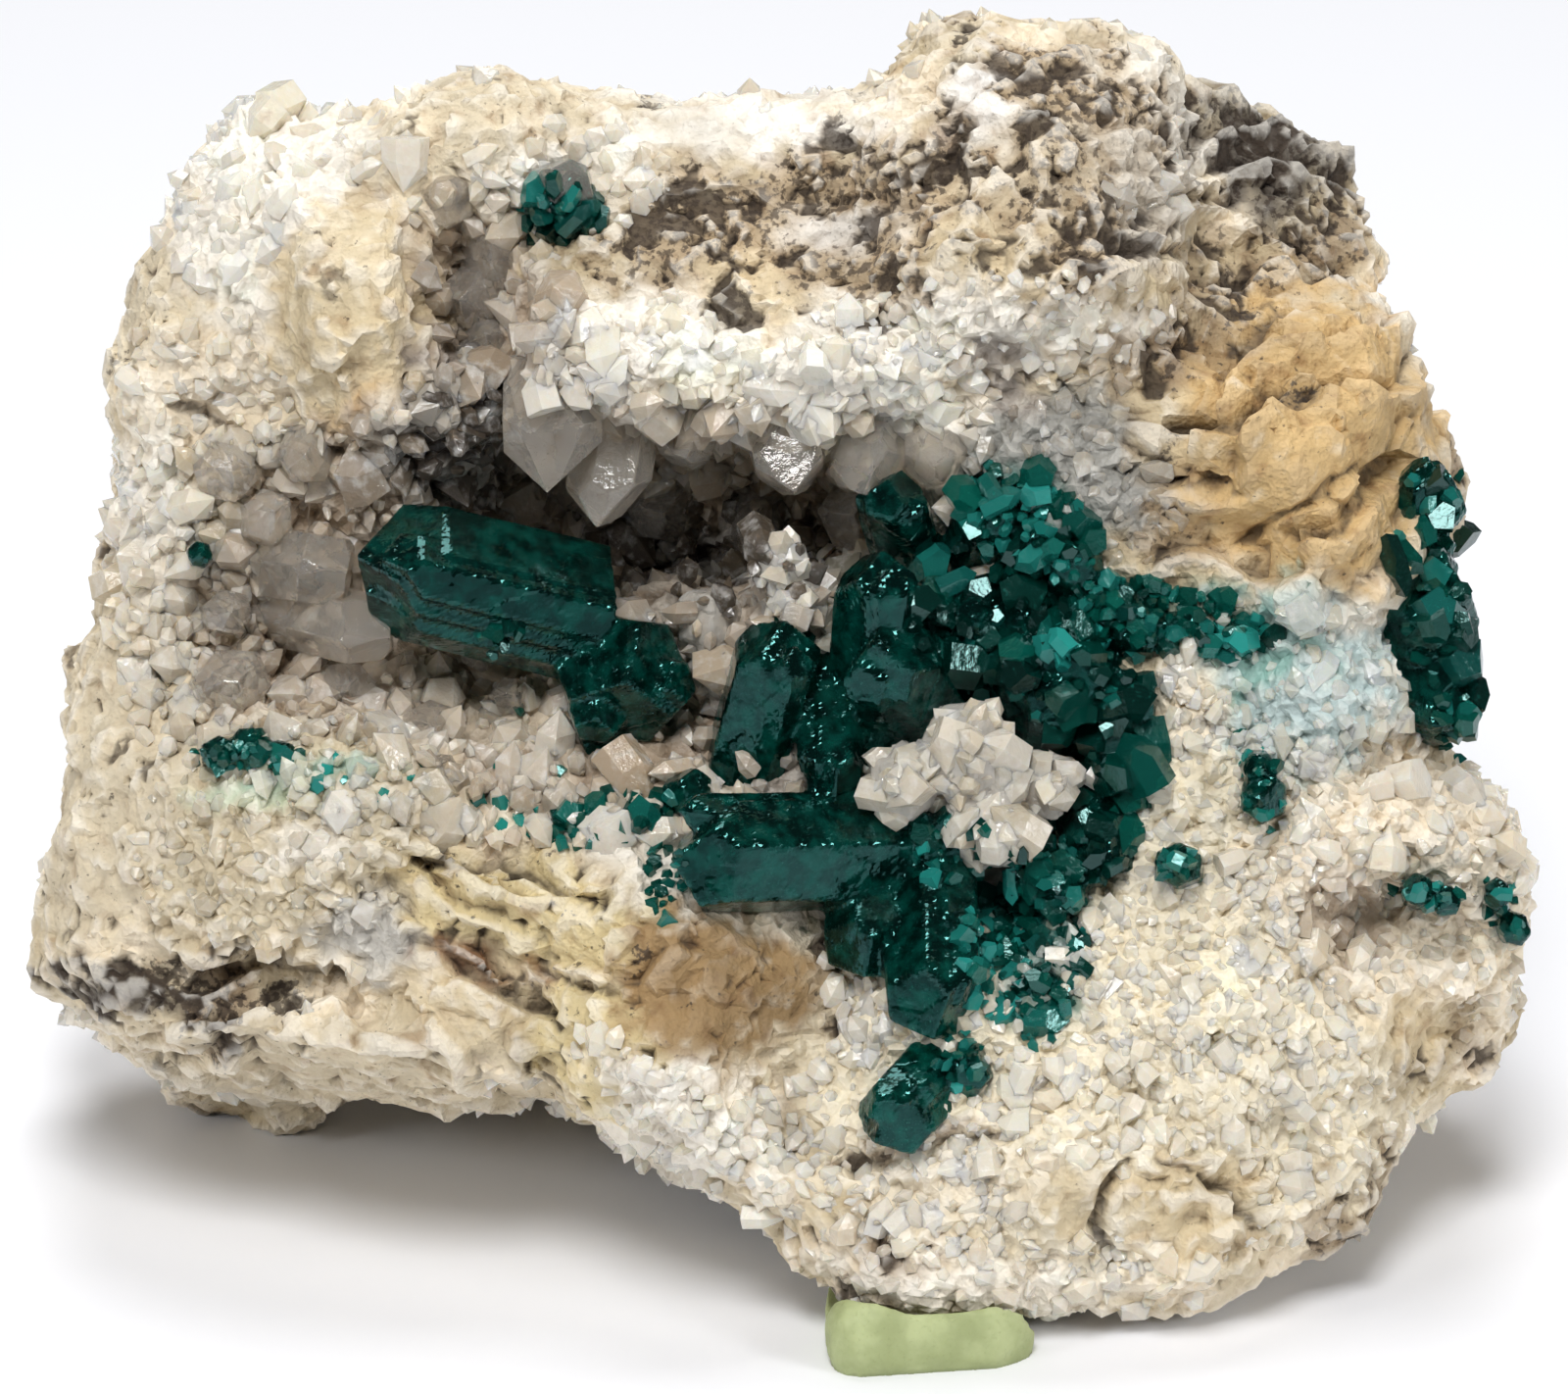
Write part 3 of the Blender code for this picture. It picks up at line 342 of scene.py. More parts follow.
# Where each lies on the front: ground, across, up, half widths, turn in degrees, softness of rim, strength
patches = [
    ("milky", -26.0, 25.5, 8.5, 6.5, 0, 0.3, 1.0),
    ("cream", -32.5, 18.5, 3.4, 5.5, 0, 0.4, 1.0),
    ("warm quartz", -29.0, 16.0, 5.0, 3.6, 0, 0.4, 0.9),
    ("sand", -22.2, 20.0, 5.0, 7.2, -5, 0.3, 1.0),
    ("cream", -22.6, 22.5, 3.0, 3.4, 0, 0.8, 0.8),
    ("ochre", -21.6, 14.8, 2.6, 1.2, 0, 0.8, 0.6),
    ("cream", -15.5, 29.0, 7.0, 4.0, 15, 0.3, 1.0),
    ("milky", -11.0, 26.5, 5.0, 2.8, 0, 0.4, 0.9),
    ("mottled", 4.0, 23.4, 16.5, 5.6, 4, 0.3, 1.0),
    ("mottled", 13.0, 27.0, 8.5, 8.0, 0, 0.3, 1.0),
    ("sand", 10.0, 22.5, 4.6, 3.4, 0, 0.5, 0.8),
    ("frost", -2.0, 29.2, 12.0, 2.3, 2, 0.7, 0.6),
    ("frost", 10.0, 30.5, 2.4, 4.4, 15, 0.9, 0.9),
    ("cream", 8.6, 33.2, 1.6, 2.0, 0, 0.5, 0.9),
    ("grey quartz", 18.0, 25.5, 2.6, 5.5, 18, 0.6, 0.6),
    ("frost", 2.8, 23.8, 4.4, 1.6, 10, 0.8, 0.6),
    ("cream", 12.0, 26.6, 5.0, 4.0, 20, 0.9, 0.5),
    ("slate", 25.0, 28.3, 5.6, 5.6, -30, 0.5, 0.95),
    ("brown", 27.5, 23.5, 3.0, 3.2, 0, 0.6, 0.7),
    ("mottled", 24.5, 21.2, 5.8, 3.2, 0, 0.5, 0.8),
    ("honey", 26.5, 13.0, 8.0, 9.5, 0, 0.3, 1.0),
    ("brown", 20.8, 17.8, 3.8, 2.6, 20, 0.7, 0.55),
    ("lilac quartz", 14.0, 11.5, 6.0, 6.2, -15, 0.4, 1.0),
    ("milky", 10.0, 18.8, 10.0, 2.9, 4, 0.5, 1.0),
    ("sand", 19.0, 14.2, 2.4, 3.6, 20, 0.6, 0.8),
    ("shaded quartz", 11.6, 16.6, 2.2, 1.8, -30, 0.6, 0.9),
    ("milky", -4.0, 17.0, 12.5, 4.6, 3, 0.3, 1.0),
    ("yellow quartz", -3.4, 15.6, 4.6, 1.8, 5, 0.6, 0.8),
    ("sand", -1.6, 20.6, 4.4, 2.4, -15, 0.6, 0.8),
    ("frost", -13.0, 19.0, 2.6, 5.0, 8, 0.6, 0.8),
    ("hollow", -12.0, 4.6, 22.0, 12.0, 0, 0.2, 1.0),
    ("hollow", -15.2, 19.6, 4.4, 7.0, 14, 0.3, 1.0),
    # painted shade in the alcove behind the lip
    ("shaded quartz", -16.4, 18.4, 3.0, 5.0, 14, 0.8, 0.8),
    # painted shade in the deepest part of the hollow, under the lip
    ("hollow shade", -16.4, 12.0, 5.0, 5.0, 0, 0.5, 1.0),
    ("hollow shade", -6.0, 7.4, 11.0, 3.4, -4, 0.4, 1.0),
    ("warm quartz", -15.0, -1.6, 9.0, 3.2, 0, 0.6, 0.6),
    ("milky", -32.4, 9.4, 3.2, 6.4, 0, 0.6, 0.9),
    ("cream", -34.5, -3.0, 4.6, 11.5, -8, 0.3, 1.0),
    ("slab quartz", -25.0, -7.2, 9.0, 6.2, 14, 0.3, 1.0),
    ("milky", -23.8, -7.4, 4.0, 1.8, 10, 0.7, 0.8),
    ("green quartz", -26.8, -4.6, 4.6, 1.7, 0, 0.6, 0.9),
    ("teal quartz", -24.6, -3.9, 5.4, 0.9, 0, 0.8, 0.7),
    ("grey quartz", -21.0, -12.2, 4.2, 2.6, 25, 0.5, 1.0),
    ("cream", -26.0, -18.8, 14.0, 3.6, -5, 0.4, 1.0),
    ("soot", -33.0, -15.2, 7.4, 1.3, -16, 0.6, 0.9),
    ("brown", -28.6, -14.9, 3.2, 2.6, 0, 0.7, 0.8),
    ("butter", -12.8, -10.8, 8.4, 3.2, -14, 0.25, 1.0),
    ("rust", -16.0, -13.4, 3.2, 0.9, -25, 0.8, 0.9),
    ("rust", -11.0, -14.6, 3.2, 0.8, -20, 0.8, 0.9),
    ("butter", -9.2, -17.6, 4.2, 4.4, 0, 0.3, 1.0),
    ("caramel", -3.2, -15.4, 6.2, 4.8, -25, 0.3, 1.0),
    ("yellow quartz", 16.0, -20.5, 18.0, 10.0, 0, 0.3, 1.0),
    ("milky", -4.6, -21.6, 7.6, 2.4, -34, 0.5, 1.0),
    ("milky", 10.0, -30.0, 11.0, 2.6, -4, 0.7, 0.8),
    ("warm quartz", 9.0, -24.5, 6.0, 4.0, 0, 0.8, 0.7),
    ("sand", 20.4, -26.0, 4.6, 3.4, 0, 0.4, 1.0),
    ("sand", 14.6, -25.6, 2.8, 3.0, 0, 0.5, 0.9),
    ("brown", 6.2, -22.8, 4.4, 0.9, 12, 0.8, 0.8),
    ("yellow quartz", 20.5, -8.6, 7.0, 10.0, 0, 0.3, 1.0),
    ("warm quartz", 31.0, -9.0, 8.5, 8.0, 0, 0.3, 1.0),
    ("sand", 31.8, -17.0, 2.8, 2.4, 20, 0.6, 0.9),
    ("hollow", 28.6, -11.2, 2.8, 3.2, 10, 0.6, 0.9),
    ("ice", 26.0, 0.6, 7.0, 5.4, 0, 0.3, 1.0),
    ("teal quartz", 24.0, 2.4, 3.8, 3.8, -30, 0.8, 0.9),
    ("teal quartz", 28.0, 2.2, 1.4, 3.6, 20, 0.9, 0.45),
    ("warm quartz", 20.4, -0.4, 2.8, 3.2, 0, 0.6, 0.9),
    # painted shade in the basin under the dioptase cluster, seen between the crystals
    ("shaded quartz", 6.5, -4.0, 11.5, 10.5, -10, 0.35, 0.95),
    ("deep teal", 7.5, 1.0, 7.5, 7.5, -20, 0.7, 0.6),
    ("deep teal", 12.4, 8.6, 4.4, 3.0, -35, 0.6, 0.8),
    ("deep teal", 13.0, -12.0, 3.0, 6.4, 0, 0.5, 1.0),
    ("deep teal", 20.0, 4.2, 6.0, 2.0, -12, 0.7, 0.7),
]
# Spots where the dark specks crowd together: across, up, half widths, turn, strength
darkSpots = [
    (-2.6, 19.6, 2.0, 2.2, 0, 1.0), (3.0, 29.2, 1.0, 1.6, 0, 0.8), (8.4, 28.0, 1.5, 2.2, 20, 1.0),
    (13.8, 29.4, 2.8, 1.8, -30, 0.9), (11.8, 31.6, 1.0, 1.4, 0, 0.9), (9.2, 34.0, 0.7, 0.9, 0, 0.9),
    (4.6, 19.8, 2.0, 0.9, -10, 0.9), (10.2, 22.0, 1.5, 1.5, 0, 0.7), (17.6, 23.0, 2.8, 0.9, 12, 1.0),
    (4.6, 31.2, 1.6, 0.5, 10, 1.0), (-6.6, 30.6, 1.6, 0.4, 0, 0.9), (-3.0, 25.8, 1.4, 0.8, 0, 0.7),
    (1.0, 26.4, 1.0, 2.6, 15, 0.7), (-3.4, 22.8, 0.9, 1.4, 0, 0.8), (24.0, 29.6, 5.0, 2.6, -35, 0.8),
    (28.0, 25.6, 1.4, 2.6, 20, 0.8), (23.2, 19.4, 1.0, 1.4, -40, 0.9), (19.4, 12.4, 0.8, 3.0, 0, 0.8),
    (26.4, 15.4, 1.4, 0.5, 0, 0.9), (-34.0, 17.0, 0.7, 1.2, 0, 0.9), (-15.6, 28.2, 1.0, 0.5, 40, 0.8),
    (-30.0, -15.0, 5.0, 1.2, -15, 1.0), (-25.6, -15.4, 1.6, 1.4, 0, 0.9), (-7.4, -13.4, 0.6, 1.0, -35, 0.9),
]
# Cracks and creases: half width, depth, and the line as (across, up) points
cracks = [
    (0.45, 1.1, [(19.7, 13.8), (22.6, 14.0), (24.8, 15.7), (26.4, 15.4)]),
    (0.30, 0.7, [(17.4, 13.2), (19.2, 11.6), (19.5, 10.9), (23.4, 10.6)]),
    (0.30, 0.6, [(23.6, 7.9), (24.8, 9.0), (26.2, 9.7), (28.2, 11.1), (29.9, 11.8)]),
    (0.55, 1.3, [(25.9, 8.3), (28.3, 8.5), (30.2, 10.9), (31.5, 11.8)]),
    (0.40, 0.8, [(23.4, 18.0), (24.3, 18.9), (25.4, 19.7)]),
    (0.35, 0.7, [(27.0, 15.3), (27.6, 16.2), (31.2, 15.9)]),
    (0.35, 0.8, [(-19, -8.7), (-16.7, -8.7), (-14.5, -8), (-12.3, -9.1), (-11, -10.2), (-9, -10.1)]),
    (0.50, 1.0, [(-19.0, -12.3), (-17.6, -12.5), (-16.3, -13.7), (-13.9, -15.2), (-12.3, -15.9)]),
    (0.35, 0.8, [(-12.3, -13.7), (-10.6, -14.6), (-8.6, -15.0)]),
    (0.35, 0.8, [(-27.8, -12.6), (-25.4, -13.8), (-22.0, -14.4)]),
    (0.32, 0.8, [(17.6, -23.8), (16.4, -25.2), (16.0, -27.0), (16.6, -29.0)]),
    (0.35, 0.8, [(19.0, -23.7), (21.2, -24.2), (23.2, -25.4), (24.0, -27.2)]),
    (0.40, 0.9, [(3.6, -24.2), (6.4, -22.9), (9.0, -22.5), (11.2, -22.4)]),
    (0.30, 0.6, [(-31.4, 15.2), (-28.0, 13.6), (-24.0, 13.2), (-19.6, 12.6)]),
    (0.35, 0.7, [(15.6, 24.0), (18.4, 22.6), (20.4, 22.8)]),
]
# The hollows that the druse fills, as across, up, half widths and turn
druseHollows = [
    (-5.0, 9.6, 15.5, 5.8, -3), (-19.5, 5.0, 13.5, 11.0, 0),
    (-9.0, 1.5, 14.0, 9.5, 0), (-15.2, 19.6, 4.0, 6.6, 14),
]
rockLook = {
    "voxel": 0.33,
    "smoothing": 6,
    "triangles": 196000,
    "frontDepth": 16.0,     # how far back the patches reach before the plain ground takes over
    "rimWander": 1.3,
    "bedRise": 1.0,         # how far the quartz fills the hollows
    "lumps": 0.30,          # heights of the relief, from the broad lumps to the pits
    "facets": 0.20,
    "chalkFacets": 0.55,
    "chalkGrain": 0.22,
    "sugarLumps": 0.70,
    "sugarGrains": 0.45,
    "pits": 0.30,
}


def groundAt(points):  # colour, sugar, speck and gloss at many points
    across, up, deep = lieOf(points)
    wanderAcross = sampled(swell, points, 0.30, 5.0) * rockLook["rimWander"]
    wanderUp = sampled(swell, points, 0.30, 17.0) * rockLook["rimWander"]
    broad = sampled(swell, points, 0.07, 2.0)
    blotch = sampled(swell, points, 0.22, 9.0)
    fine = sampled(swell, points, 0.8, 4.0)

    def row(name):
        code, sugar, speck, gloss = grounds[name]
        return np.array([*colour(code), sugar, speck, gloss])

    def lay(values, name, share):
        return values + (row(name) - values) * share[:, None]

    values = np.tile(row("cream"), (len(points), 1))
    values = lay(values, "sand", smooth(0.5 + broad * 1.6))
    values = lay(values, "warm quartz", smooth((blotch - 0.10) / 0.2) * 0.8)
    values = lay(values, "brown", smooth((broad - 0.20) / 0.30 + fine * 0.5) * 0.7)
    values = lay(values, "milky", smooth((-broad - 0.25) / 0.12) * 0.8)
    plain = values.copy()
    for name, *zone, soft, strength in patches:
        inside = shareOf(across + wanderAcross, up + wanderUp, zone)
        share = smooth((1 - inside) / soft + fine * 0.8) * smooth((1.25 - inside) / 0.2)
        values = lay(values, name, share * strength)
    for *zone, strength in darkSpots:
        inside = shareOf(across + wanderAcross * 0.6, up + wanderUp * 0.6, zone)
        crowd = smooth((1.1 - inside) / 0.7) * strength
        values[:, 4] = np.maximum(values[:, 4], crowd * 1.05)
    front = smooth((rockLook["frontDepth"] + 8 - deep + blotch * 6) / 8)[:, None]
    values = plain + (values - plain) * front
    values[:, :3] *= (1 + 0.16 * blotch + 0.14 * fine - 0.15 * (1 - values[:, 3]))[:, None]
    values[:, :3] = np.clip(values[:, :3], 0, 0.92)
    return values


def crackDepths(across, up):  # how deep the cracks cut here, and how much painted shade darkens them
    depths = np.zeros(len(across))
    creviceShade = np.zeros(len(across))
    places = np.column_stack([across, up])
    for half, depth, line in cracks:
        nearest = np.full(len(across), 1e9)
        for start, end in zip(line, line[1:]):
            start, run = np.array(start), np.array(end) - np.array(start)
            share = np.clip((places - start) @ run / (run @ run), 0, 1)
            nearest = np.minimum(nearest, np.linalg.norm(places - start - share[:, None] * run, axis=1))
        depths = np.maximum(depths, 0.7 * depth * smooth(1.5 - nearest / half))
        creviceShade = np.maximum(creviceShade, 0.8 * smooth(1.3 - nearest / half))
    return depths, creviceShade


# Flakes that lie over one another: zone, turn of the flakes, how often they come, how far they stand out
slabZones = [
    ((26.0, 12.5, 8.5, 10.0, 0), 28, 0.21, 1.2), ((-13.0, -11.0, 9.0, 3.6, -14), -18, 0.34, 0.9),
    ((-26.0, -17.5, 14.0, 5.0, -5), -8, 0.36, 0.9), ((24.0, 26.0, 7.0, 7.0, 0), -35, 0.34, 0.9),
    ((20.4, -26.0, 4.8, 3.6, 0), 10, 0.34, 0.7), ((13.0, 27.0, 8.0, 8.0, 0), 30, 0.25, 0.6),
]


def slabsOf(across, up, deep):
    rise, seams = np.zeros(len(across)), np.zeros(len(across))
    for zone, turn, often, height in slabZones:
        angle = math.radians(turn)
        along = across * math.cos(angle) + up * math.sin(angle)
        over = -across * math.sin(angle) + up * math.cos(angle)
        inside = smooth((1.15 - shareOf(across, up, zone)) / 0.3) * smooth((24 - deep) / 6)
        chosen = np.nonzero(inside > 0)[0]
        lines = np.column_stack([along * 0.09, over * 0.10, deep * 0.05])[chosen]
        phase = over[chosen] * often + 1.6 * sampled(swell, lines, 1.0, 21.0)
        tooth = phase - np.floor(phase)
        rise[chosen] += height * inside[chosen] * (np.minimum(tooth / 0.85, (1 - tooth) / 0.15) - 0.5)
        # painted shade along the seam under each flake
        seam = 0.75 * inside[chosen] * smooth(1 - np.abs(tooth - 0.98) / 0.07)
        seams[chosen] = np.maximum(seams[chosen], seam)
    return rise, seams


def hollowness(mesh, points, normals):  # how far each point lies below its surroundings
    edges = np.empty(len(mesh.edges) * 2, dtype=np.int64)
    mesh.edges.foreach_get("vertices", edges)
    first, second = edges[0::2], edges[1::2]
    count = np.bincount(first, minlength=len(points)) + np.bincount(second, minlength=len(points))
    spread = points.copy()
    for _ in range(6):
        total = np.zeros_like(spread)
        for axis in range(3):
            total[:, axis] += np.bincount(first, spread[second, axis], len(points))
            total[:, axis] += np.bincount(second, spread[first, axis], len(points))
        spread = total / count[:, None]
    return np.einsum("ij,ij->i", spread - points, normals)


def rockMesh():
    look = rockLook
    mesh = solidOf("host_rock", look["voxel"], look["smoothing"])
    print("rock", len(mesh.vertices), "points")
    points, normals = pointsOf(mesh), normalsOf(mesh)
    across, up, deep = lieOf(points)
    ground = groundAt(points)
    sugar, speck, gloss = ground[:, 3], ground[:, 4], ground[:, 5]
    facing = -normals @ np.array(away)
    nearFront = smooth((24 - deep) / 8)

    wander = sampled(swell, points, 0.30, 5.0) * 0.6
    lining = np.zeros(len(points))
    for zone in druseHollows:
        lining = np.maximum(lining, smooth((1.04 - shareOf(across + wander, up + wander, zone)) / 0.12))
    move = look["bedRise"] * lining * nearFront

    chalk = 1 - sugar
    facets = look["chalkFacets"] * chalk * (1 - 0.5 * gloss) + look["facets"]
    move += look["lumps"] * sampled(swell, points, 0.35, 1.0)
    move += facets * sampled(crag, points, 0.42, 3.0)
    move += look["chalkGrain"] * chalk * (1 - gloss) * sampled(swell, points, 1.1, 6.0)
    sugarLumps = look["sugarLumps"] * sampled(crag, points, 0.75, 8.0)
    move += sugar * (sugarLumps + look["sugarGrains"] * sampled(crag, points, 1.5, 2.0))
    slabs, seams = slabsOf(across, up, deep)
    move += slabs
    pits = sampled(swell, points, 0.55, 12.0) + 0.6 * sampled(swell, points, 1.5, 14.0)
    pit = smooth((pits - (0.62 - 0.75 * speck)) / 0.12) * smooth(speck / 0.3)
    move -= look["pits"] * pit
    depths, creviceShade = crackDepths(across + wander * 0.4, up + wander * 0.4)
    depths, creviceShade = depths * nearFront * smooth(facing / 0.3 + 0.7), creviceShade * nearFront
    move -= depths
    points = points + normals * move[:, None]
    points[:, 2] = np.maximum(points[:, 2], 0.02)
    placePoints(mesh, points)
    mesh.update()

    setTones(mesh, ground[:, :3])
    setValues(mesh, "sugar", sugar)
    setValues(mesh, "speck", speck)
    setValues(mesh, "gloss", gloss)
    # painted shade: dark in pits, cracks and the seams between flakes
    setValues(mesh, "creviceShade", np.maximum(np.maximum(pit, creviceShade), seams))
    setValues(mesh, "sunk", hollowness(mesh, points, normalsOf(mesh)))
    ratio = min(1.0, look["triangles"] / (2 * len(mesh.polygons)))
    return applied(mesh, "DECIMATE", {"ratio": ratio, "use_collapse_triangulate": True})


def rockFinish():
    rock = Finish("host_rock")
    tone = rock.read("tone", "Color")
    sugar, speck, creviceShade = rock.read("sugar"), rock.read("speck"), rock.read("creviceShade")
    gloss, sunk = rock.read("gloss"), rock.read("sunk")
    cloud, grain, dust = rock.cloud(1.6, 4), rock.cloud(0.45, 4), rock.cloud(0.16, 2)
    shade = rock.add("CombineColor", {}, {0: cloud, 1: cloud, 2: cloud})
    base = rock.blend(tone, rgba("fff8e8"), rock.step(cloud, 0.55, 0.8) * 0.35)
    stain = rock.step(1 - cloud, 0.52, 0.75) * (1 - sugar)
    base = rock.blend(base, rgba("a37c4a"), stain * 0.55, "MULTIPLY")
    base = rock.blend(base, shade, rock.step(grain, 0.35, 0.7) * 0.12, "OVERLAY")
    spots = rock.step(grain + speck * 0.30, 0.70, 0.80) * (1 - sugar * 0.8)
    base = rock.blend(base, rgba("3d3229"), spots * 0.85)
    # painted shade in pits, cracks and seams
    base = rock.blend(base, rgba("3a2f25"), rock.step(creviceShade + grain * 0.5, 0.55, 1.25) * 0.85)
    # painted shade: darker in recesses, by how far each point lies below its surroundings
    recessShade = rock.step(sunk, 0.05, 0.40) * (1 - sugar * 0.6)
    base = rock.blend(base, rgba("6b5236"), recessShade * 0.6, "MULTIPLY")
    # painted highlight: lighter on raised ridges that stand above their surroundings
    base = rock.blend(base, rgba("fffaf0"), rock.step(sunk * -1.0, 0.03, 0.22) * (0.35 - gloss * 0.5))
    facets = rock.cells(0.55) + rock.cells(0.25) * 0.5
    normal = rock.bump(facets, 0.5, 0.25)
    normal = rock.bump(grain * (1 - sugar * 0.5) + dust * 0.4, 0.6, 0.18, normal)
    rough = 0.88 - sugar * 0.42 - gloss * 0.35 + grain * 0.15
    rock.surface({"Base Color": base, "Roughness": rough, "Normal": normal, "IOR": 1.5})
    return rock.material


# Crystals


def sliced(bm, point, normal):  # cuts off what lies past a plane, and closes the cut
    geometry = bm.verts[:] + bm.edges[:] + bm.faces[:]
    bmesh.ops.bisect_plane(bm, geom=geometry, plane_co=point, plane_no=normal, clear_outer=True)
    bmesh.ops.holes_fill(bm, edges=[edge for edge in bm.edges if edge.is_boundary])


def prism(halfWidth, length, habit, dice):  # six sides, standing on the origin
    bm = bmesh.new()
    ends = {"radius1": halfWidth, "radius2": halfWidth * habit["taper"]}
    bmesh.ops.create_cone(bm, cap_ends=True, segments=6, depth=length, **ends)
    squash = dice.uniform(*habit["squash"]), dice.uniform(*habit["squash"])
    bmesh.ops.scale(bm, verts=bm.verts[:], vec=(*squash, 1))
    bmesh.ops.translate(bm, verts=bm.verts[:], vec=(0, 0, length / 2))
    return bm


def ended(bm, tip, bearing, slope):  # cuts one sloping face at the tip
    level = math.sin(slope)
    normal = Vector((level * math.cos(bearing), level * math.sin(bearing), math.cos(slope)))
    sliced(bm, Vector((0, 0, tip)), normal)


def softened(bm, width):  # slightly worn edges
    settings = {"segments": 1, "profile": 0.5, "affect": "EDGES", "material": -1, "clamp_overlap": True}
    bmesh.ops.bevel(bm, geom=bm.edges[:], offset=width, **settings)


# How each mineral grows: lengths are shares of the half width, and slopes are in degrees
dioptaseHabit = {
    "squash": (0.88, 1.12),
    "taper": 0.97,
    "bearingWander": (-0.04, 0.04),
    "slope": 50,
    "slopeWander": (-4, 4),
    "drop": (0, 0.22),
    "edge": 0.03,
}
quartzHabit = {
    "squash": (0.85, 1.15),
    "taper": 0.93,
    "slope": 52,
    "slopeWander": (-3, 3),
    "drop": (0.0, 0.35),
    "edge": 0.03,
}
# A stub of quartz is a short prism under one blunt point
stubHabit = {
    "squash": (0.8, 1.2),
    "taper": 0.95,
    "length": 2.4,
    "shoulder": 1.15,       # how far below the point its sides end, and how much that and the point vary
    "shoulderWander": (-0.35, 0.35),
    "pointWander": (-0.3, 0.3),
}


def dioptaseShape(halfWidth, length, dice, edge=dioptaseHabit["edge"]):  # three sloping faces end it
    habit = dioptaseHabit
    bm = prism(halfWidth, length, habit, dice)
    for i in range(3):
        bearing = math.tau * (i + dice.uniform(*habit["bearingWander"])) / 3
        slope = math.radians(habit["slope"] + dice.uniform(*habit["slopeWander"]))
        ended(bm, length - halfWidth * dice.uniform(*habit["drop"]), bearing, slope)
    if edge:
        softened(bm, halfWidth * edge)
    return bm


def quartzShape(halfWidth, length, dice):  # six sloping faces end it, and every other one is cut lower
    habit = quartzHabit
    bm = prism(halfWidth, length, habit, dice)
    for i in range(6):
        slope = math.radians(habit["slope"] + dice.uniform(*habit["slopeWander"]))
        drop = halfWidth * dice.uniform(*habit["drop"]) * (i % 2)
        ended(bm, length - drop, math.tau * (i + 0.5) / 6, slope)
    softened(bm, halfWidth * habit["edge"])
    return bm


def standing(bm, start, tip, roll):  # turned and moved to run from start to tip
    turn = (tip - start).to_track_quat("Z", "Y").to_matrix()
    turn = turn @ Matrix.Rotation(math.radians(roll), 3, "Z")
    bmesh.ops.transform(bm, matrix=Matrix.Translation(start) @ turn.to_4x4(), verts=bm.verts[:])
    bmesh.ops.recalc_face_normals(bm, faces=bm.faces[:])
    return meshOf(bm)


def fused(meshes):  # one body of crystals that overlap
    if len(meshes) == 1:
        return meshes[0]
    group = bpy.data.collections.new("parts")
    bpy.context.scene.collection.children.link(group)
    for mesh in meshes[1:]:
        group.objects.link(bpy.data.objects.new("part", mesh))
    settings = {"operation": "UNION", "operand_type": "COLLECTION", "collection": group}
    whole = applied(meshes[0], "BOOLEAN", {**settings, "solver": "MANIFOLD"})
    for obj in list(group.objects):
        bpy.data.objects.remove(obj)
    bpy.data.collections.remove(group)
    return whole


